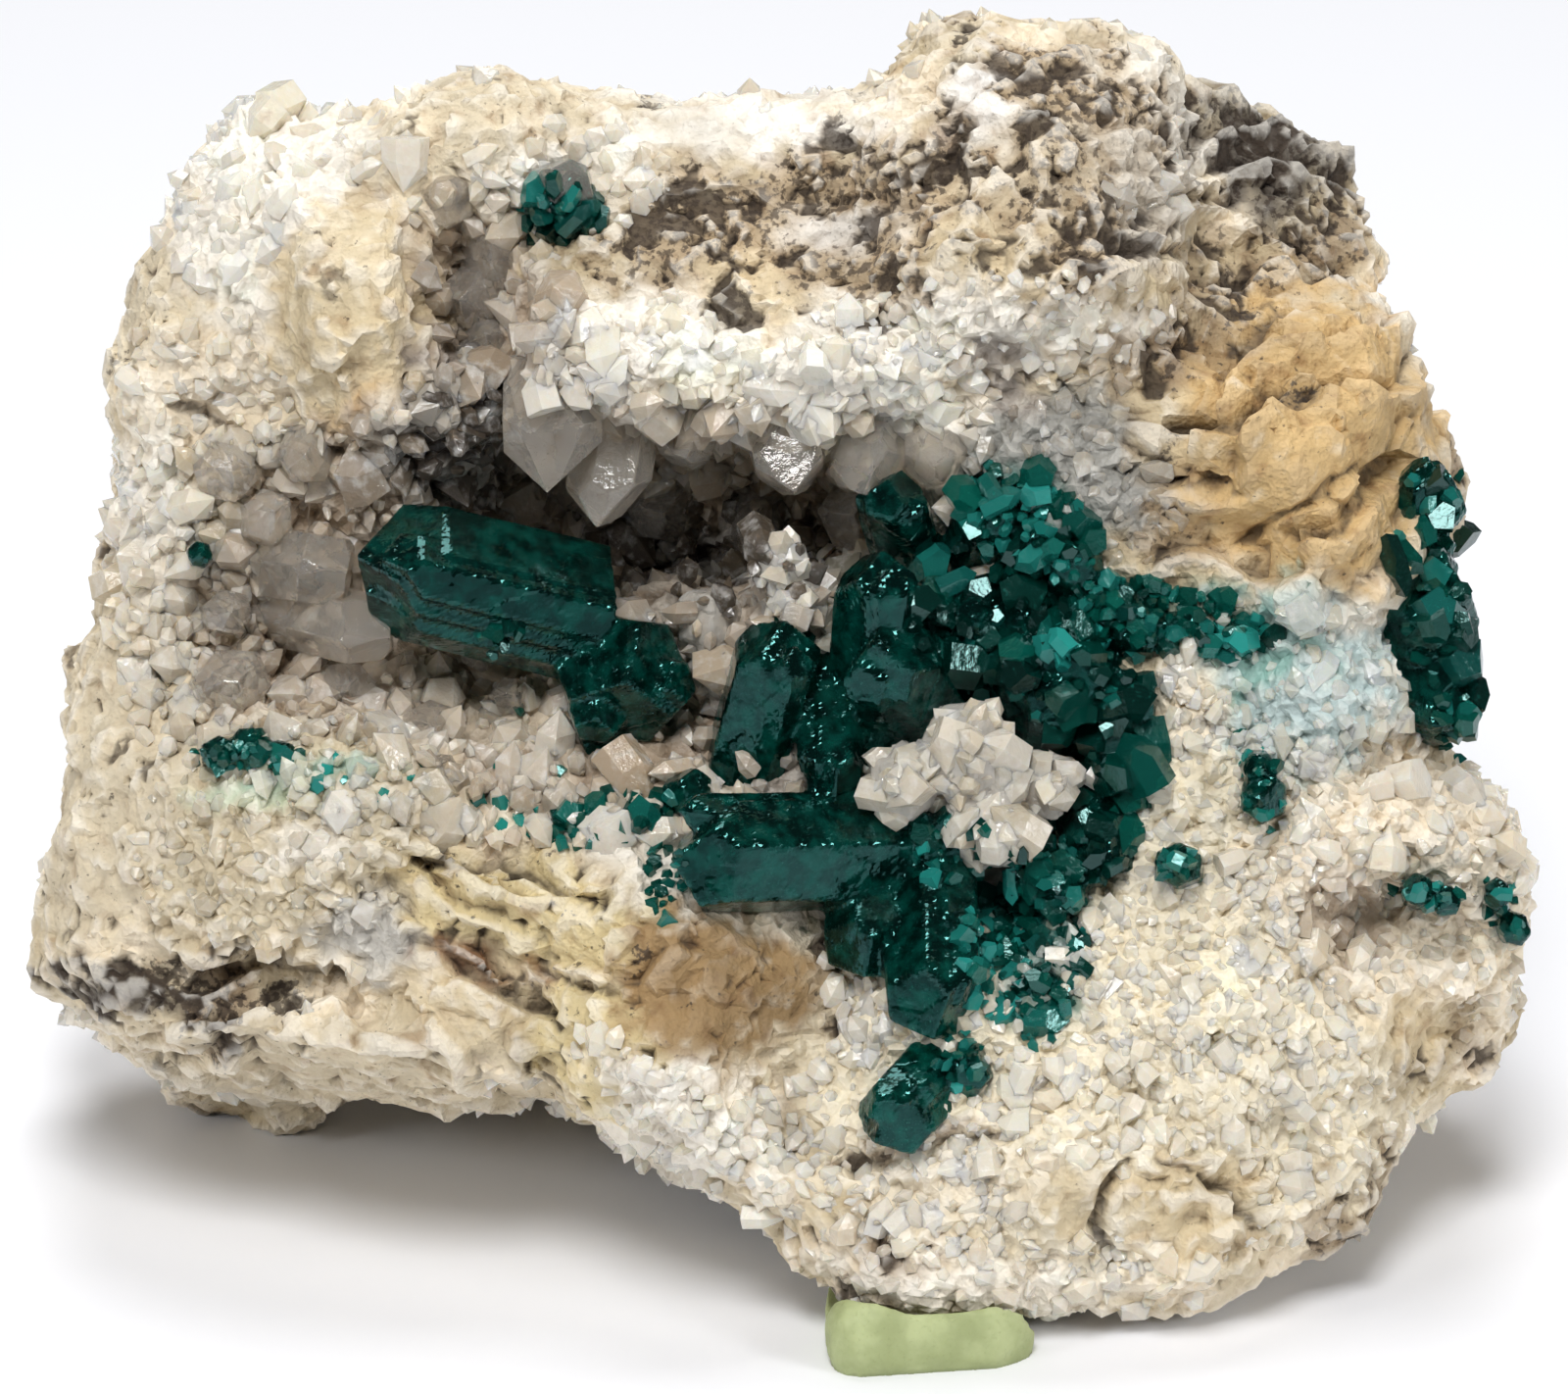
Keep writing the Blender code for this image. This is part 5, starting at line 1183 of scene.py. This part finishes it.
def looseQuartzSeeds(mesh):  # small quartz on the sides and the back, where the ground is sugary
    look = backLook
    dice = random.Random(look["seed"])
    points, normals = pointsOf(mesh), normalsOf(mesh)
    deep = lieOf(points)[2]
    facing = -normals @ np.array(away)
    sugar = np.empty(len(points))
    mesh.attributes["sugar"].data.foreach_get("value", sugar)
    tones = np.empty(len(points) * 4)
    mesh.attributes["tone"].data.foreach_get("color", tones)
    tones = tones.reshape(-1, 4)[:, :3]
    hidden = np.nonzero((sugar > 0.6) & ((facing < 0.15) | (deep > 14)) & (points[:, 2] > 3))[0]
    seeds = []
    for index in dice.sample(hidden.tolist(), min(len(hidden), look["count"])):
        direction = leaning(Vector(normals[index]), look["lean"], dice)
        width, rise = dice.uniform(*look["widths"]), dice.uniform(*look["rises"])
        tone = toward(tones[index], look["tone"], dice.uniform(0.1, 0.6))
        place = Vector(points[index]) + direction * rise
        roll, kind = dice.uniform(0, 6), dice.randrange(druseLook["shapes"])
        seeds.append((place, direction, roll, (width, width, width), kind, tone))
    return seeds


def dioptaseSeeds(tree):
    look = fleckLook
    dice = random.Random(look["seed"])
    seeds = []
    for *zone, spacing, widths, rises, bright, blue in dioptaseZones.values():
        for across, up in zoneSpots(zone, spacing, dice):
            place, normal = landing(tree, across, up)
            if place is None:
                continue
            direction = leaning(normal, look["lean"], dice)
            width = widths[0] + (widths[1] - widths[0]) * 1.5 * dice.random() ** 2.2
            rise = dice.uniform(*rises) * (0.5 + width)
            tone = toward(colour(look["deep"]), look["bright"], limited(bright + dice.gauss(0, 0.25)))
            tone = toward(tone, look["turquoise"], limited(blue + dice.gauss(-0.25, 0.3)))
            size = (width * dice.uniform(0.6, 1.1), width, width * dice.uniform(0.8, 1.4))
            roll, kind = dice.uniform(0, 6), dice.randrange(look["shapes"])
            seeds.append((place + direction * rise, direction, roll, size, kind, tone))
    return seeds


def druseFinish():
    druse = Finish("quartz druse")
    tone = druse.read("tone", "Color")
    veil, fine = druse.cloud(0.9, 4), druse.cloud(0.25, 3)
    base = druse.blend(tone, rgba("fffdf8"), druse.step(veil, 0.48, 0.72) * 0.45)
    base = druse.blend(base, rgba("b39c80"), druse.step(1 - veil, 0.58, 0.74) * 0.30)
    normal = druse.bump(fine, 0.5, 0.12)
    rough = 0.03 + druse.step(fine, 0.4, 0.8) * 0.12
    druse.surface({"Base Color": base, "Roughness": rough, "Normal": normal, "IOR": 1.544})
    druse.surface({"Transmission Weight": 0.22, "Subsurface Weight": 0.5})
    druse.surface({"Subsurface Radius": (1.0, 0.8, 0.55), "Subsurface Scale": 0.5 * mm})
    return druse.material


def fleckFinish():
    fleck = Finish("small dioptase")
    tone = fleck.read("tone", "Color")
    veil = fleck.cloud(0.35, 3)
    base = fleck.blend(tone, rgba("3cc4b2"), fleck.step(veil, 0.60, 0.78) * 0.25)
    normal = fleck.bump(veil, 0.3, 0.08)
    fleck.surface({"Base Color": base, "Roughness": 0.08 + veil * 0.12, "Normal": normal, "IOR": 1.66})
    fleck.surface({"Transmission Weight": 0.45, "Specular IOR Level": 0.4})
    fleck.surface({"Specular Tint": (0.6, 1.0, 0.97, 1)})
    return fleck.material


# The putty

puttyLook = {"voxel": 0.16, "smoothing": 8, "dents": 0.10, "thumb": 0.05}


def puttyMesh():
    mesh = solidOf("putty_pad", puttyLook["voxel"], puttyLook["smoothing"])
    points, normals = pointsOf(mesh), normalsOf(mesh)
    move = puttyLook["dents"] * sampled(swell, points, 0.5)
    move += puttyLook["thumb"] * sampled(crag, points, 0.7)
    move *= smooth((points[:, 2] - 0.1) / 0.5)
    points = points + normals * (move - 0.03)[:, None]
    points[:, 2] = np.where(points[:, 2] < 0.25, 0.012, points[:, 2])  # a flat underside
    placePoints(mesh, points)
    mesh.shade_smooth()
    return mesh


def puttyFinish():
    putty = Finish("putty")
    cloud, grain = putty.cloud(2.5, 3), putty.cloud(0.25, 3)
    base = putty.blend(rgba("9da675"), rgba("b7c08e"), putty.step(cloud, 0.35, 0.7))
    base = putty.blend(base, rgba("868f60"), putty.step(grain, 0.55, 0.75) * 0.3)
    normal = putty.bump(grain + cloud, 0.3, 0.15)
    putty.surface({"Base Color": base, "Roughness": 0.5 + grain * 0.2, "Normal": normal, "IOR": 1.45})
    putty.surface({"Subsurface Weight": 0.2, "Subsurface Radius": (1.0, 1.0, 0.6)})
    putty.surface({"Subsurface Scale": 1.0 * mm})
    return putty.material


# The making of it all


def surfaceOf(meshes):  # what the small crystals land on
    bm = bmesh.new()
    for mesh in meshes:
        bm.from_mesh(mesh)
    tree = BVHTree.FromBMesh(bm)
    bm.free()
    return tree


def buildRock():
    rock = rockMesh()
    rock.shade_flat()
    piece("rock", rock, rockFinish(), "host_rock", "host_rock")
    bare = rock.copy()
    bare.transform(Matrix.Scale(1 / mm, 4))
    return bare


def buildDioptase():
    green = dioptaseFinish()
    crystals = []
    for i, (name, rows) in enumerate(dioptase.items()):
        mesh = dioptaseMesh(rows, dioptaseLook["seed"] + i)
        crystals.append(mesh.copy())
        piece(name + "_crystals", mesh, green, "dioptase", name)
    return crystals


def buildQuartz():
    clear = clearQuartzFinish("clear quartz", "f8f1e6", 0.16)
    milky = clearQuartzFinish("milky quartz", "f7f1e6", 0.45)
    crystals = {}
    for i, (name, rows) in enumerate(quartz.items()):
        mesh = quartzMesh(rows, quartzLook["seed"] + i)
        if name != "quartz_points":
            mesh = worn(mesh, quartzLook)
        crystals[name] = mesh.copy()
        if name == "quartz_points":
            piece(name, mesh, clear, "quartz")
        else:
            piece(name + "_crystals", mesh, milky, "quartz", name)
    return crystals


def buildSpecimen():
    rock = buildRock()
    greens = buildDioptase()
    clears = buildQuartz()
    quartzStubs = shapeSet("quartzStub", [stubQuartz(seed) for seed in range(druseLook["shapes"])])
    dioptaseStubs = shapeSet("dioptaseStub", [stubDioptase(seed) for seed in range(fleckLook["shapes"])])
    bed = surfaceOf([rock, clears["quartz_knob"], clears["quartz_perch"]])
    druse, grains = druseFinish(), quartzSeeds(bed)
    piece("quartz_druse", scattered("druse", grains, quartzStubs), druse, "quartz", "quartz_crust")
    loose = scattered("loose", looseQuartzSeeds(rock), quartzStubs)
    piece("quartz_druse_back", loose, druse, "quartz")
    whole = surfaceOf([rock, *greens, *clears.values()])
    flecks = scattered("flecks", dioptaseSeeds(whole), dioptaseStubs)
    piece("dioptase_druse", flecks, fleckFinish(), "dioptase")
    piece("putty", puttyMesh(), puttyFinish(), "putty", "putty_pad")


# The table, the light and the camera

studio = {
    "tableSize": 6.0,
    "tableColour": "f5f6fa",
    "shadedTableColour": "a3a6aa",
    "lightPoolMiddle": (0, 0.36, 0),        # painted light: the table is white in a pool round this middle and fades to grey further out, in metres
    "lightPoolReach": (0.398, 0.50),
    "sky": 0.06,
    "skyColour": (0.97, 0.985, 1.0),
    "lights": {
        # place and size in millimetres, watts
        "key": ((-60, -360, 560), 240, 2.75),
        "overhead": ((0, 320, 800), 560, 4.4),
        "left": ((-450, -330, 260), 150, 0.8),
        "right": ((450, -300, 260), 150, 1.05),
    },
    "aim": Vector((0, 0, 28)),
}


def buildStudio():
    bm = bmesh.new()
    bmesh.ops.create_grid(bm, x_segments=2, y_segments=2, size=studio["tableSize"] / 2)
    table = bpy.data.objects.new("table", meshOf(bm, "table"))
    top = Finish("table")
    inputs = {0: top.place, 1: studio["lightPoolMiddle"]}
    # painted light: the table's colour falls off from white to grey away from the pool's middle
    reach = top.add("VectorMath", {"operation": "DISTANCE"}, inputs, "Value")
    paintedFalloff = top.step(reach, *studio["lightPoolReach"])
    sheet = top.blend(rgba(studio["tableColour"]), rgba(studio["shadedTableColour"]), paintedFalloff)
    top.surface({"Base Color": sheet, "Roughness": 0.8})
    table.data.materials.append(top.material)
    bpy.context.scene.collection.objects.link(table)

    world = bpy.data.worlds.new("studio")
    world.use_nodes = True
    background = world.node_tree.nodes["Background"]
    background.inputs["Color"].default_value = (*studio["skyColour"], 1)
    background.inputs["Strength"].default_value = studio["sky"]
    bpy.context.scene.world = world

    for name, (place, size, watts) in studio["lights"].items():
        light = bpy.data.lights.new(name, "AREA")
        light.shape = "DISK"
        light.size = size * mm
        light.energy = watts
        lamp = bpy.data.objects.new(name, light)
        lamp.location = Vector(place) * mm
        lamp.rotation_euler = (studio["aim"] - Vector(place)).to_track_quat("-Z", "Y").to_euler()
        bpy.context.scene.collection.objects.link(lamp)

    camera = bpy.data.objects.new("camera", bpy.data.cameras.new("camera"))
    camera.data.lens = view["lens"]
    camera.data.sensor_width = view["sensor"]
    camera.data.clip_start = 0.01
    camera.location = eye * mm
    camera.rotation_euler = away.to_track_quat("-Z", "Y").to_euler()
    bpy.context.scene.collection.objects.link(camera)
    bpy.context.scene.camera = camera
    bpy.context.scene.view_settings.view_transform = "Standard"


buildStudio()
print("studio done")
buildSpecimen()
print("specimen done")
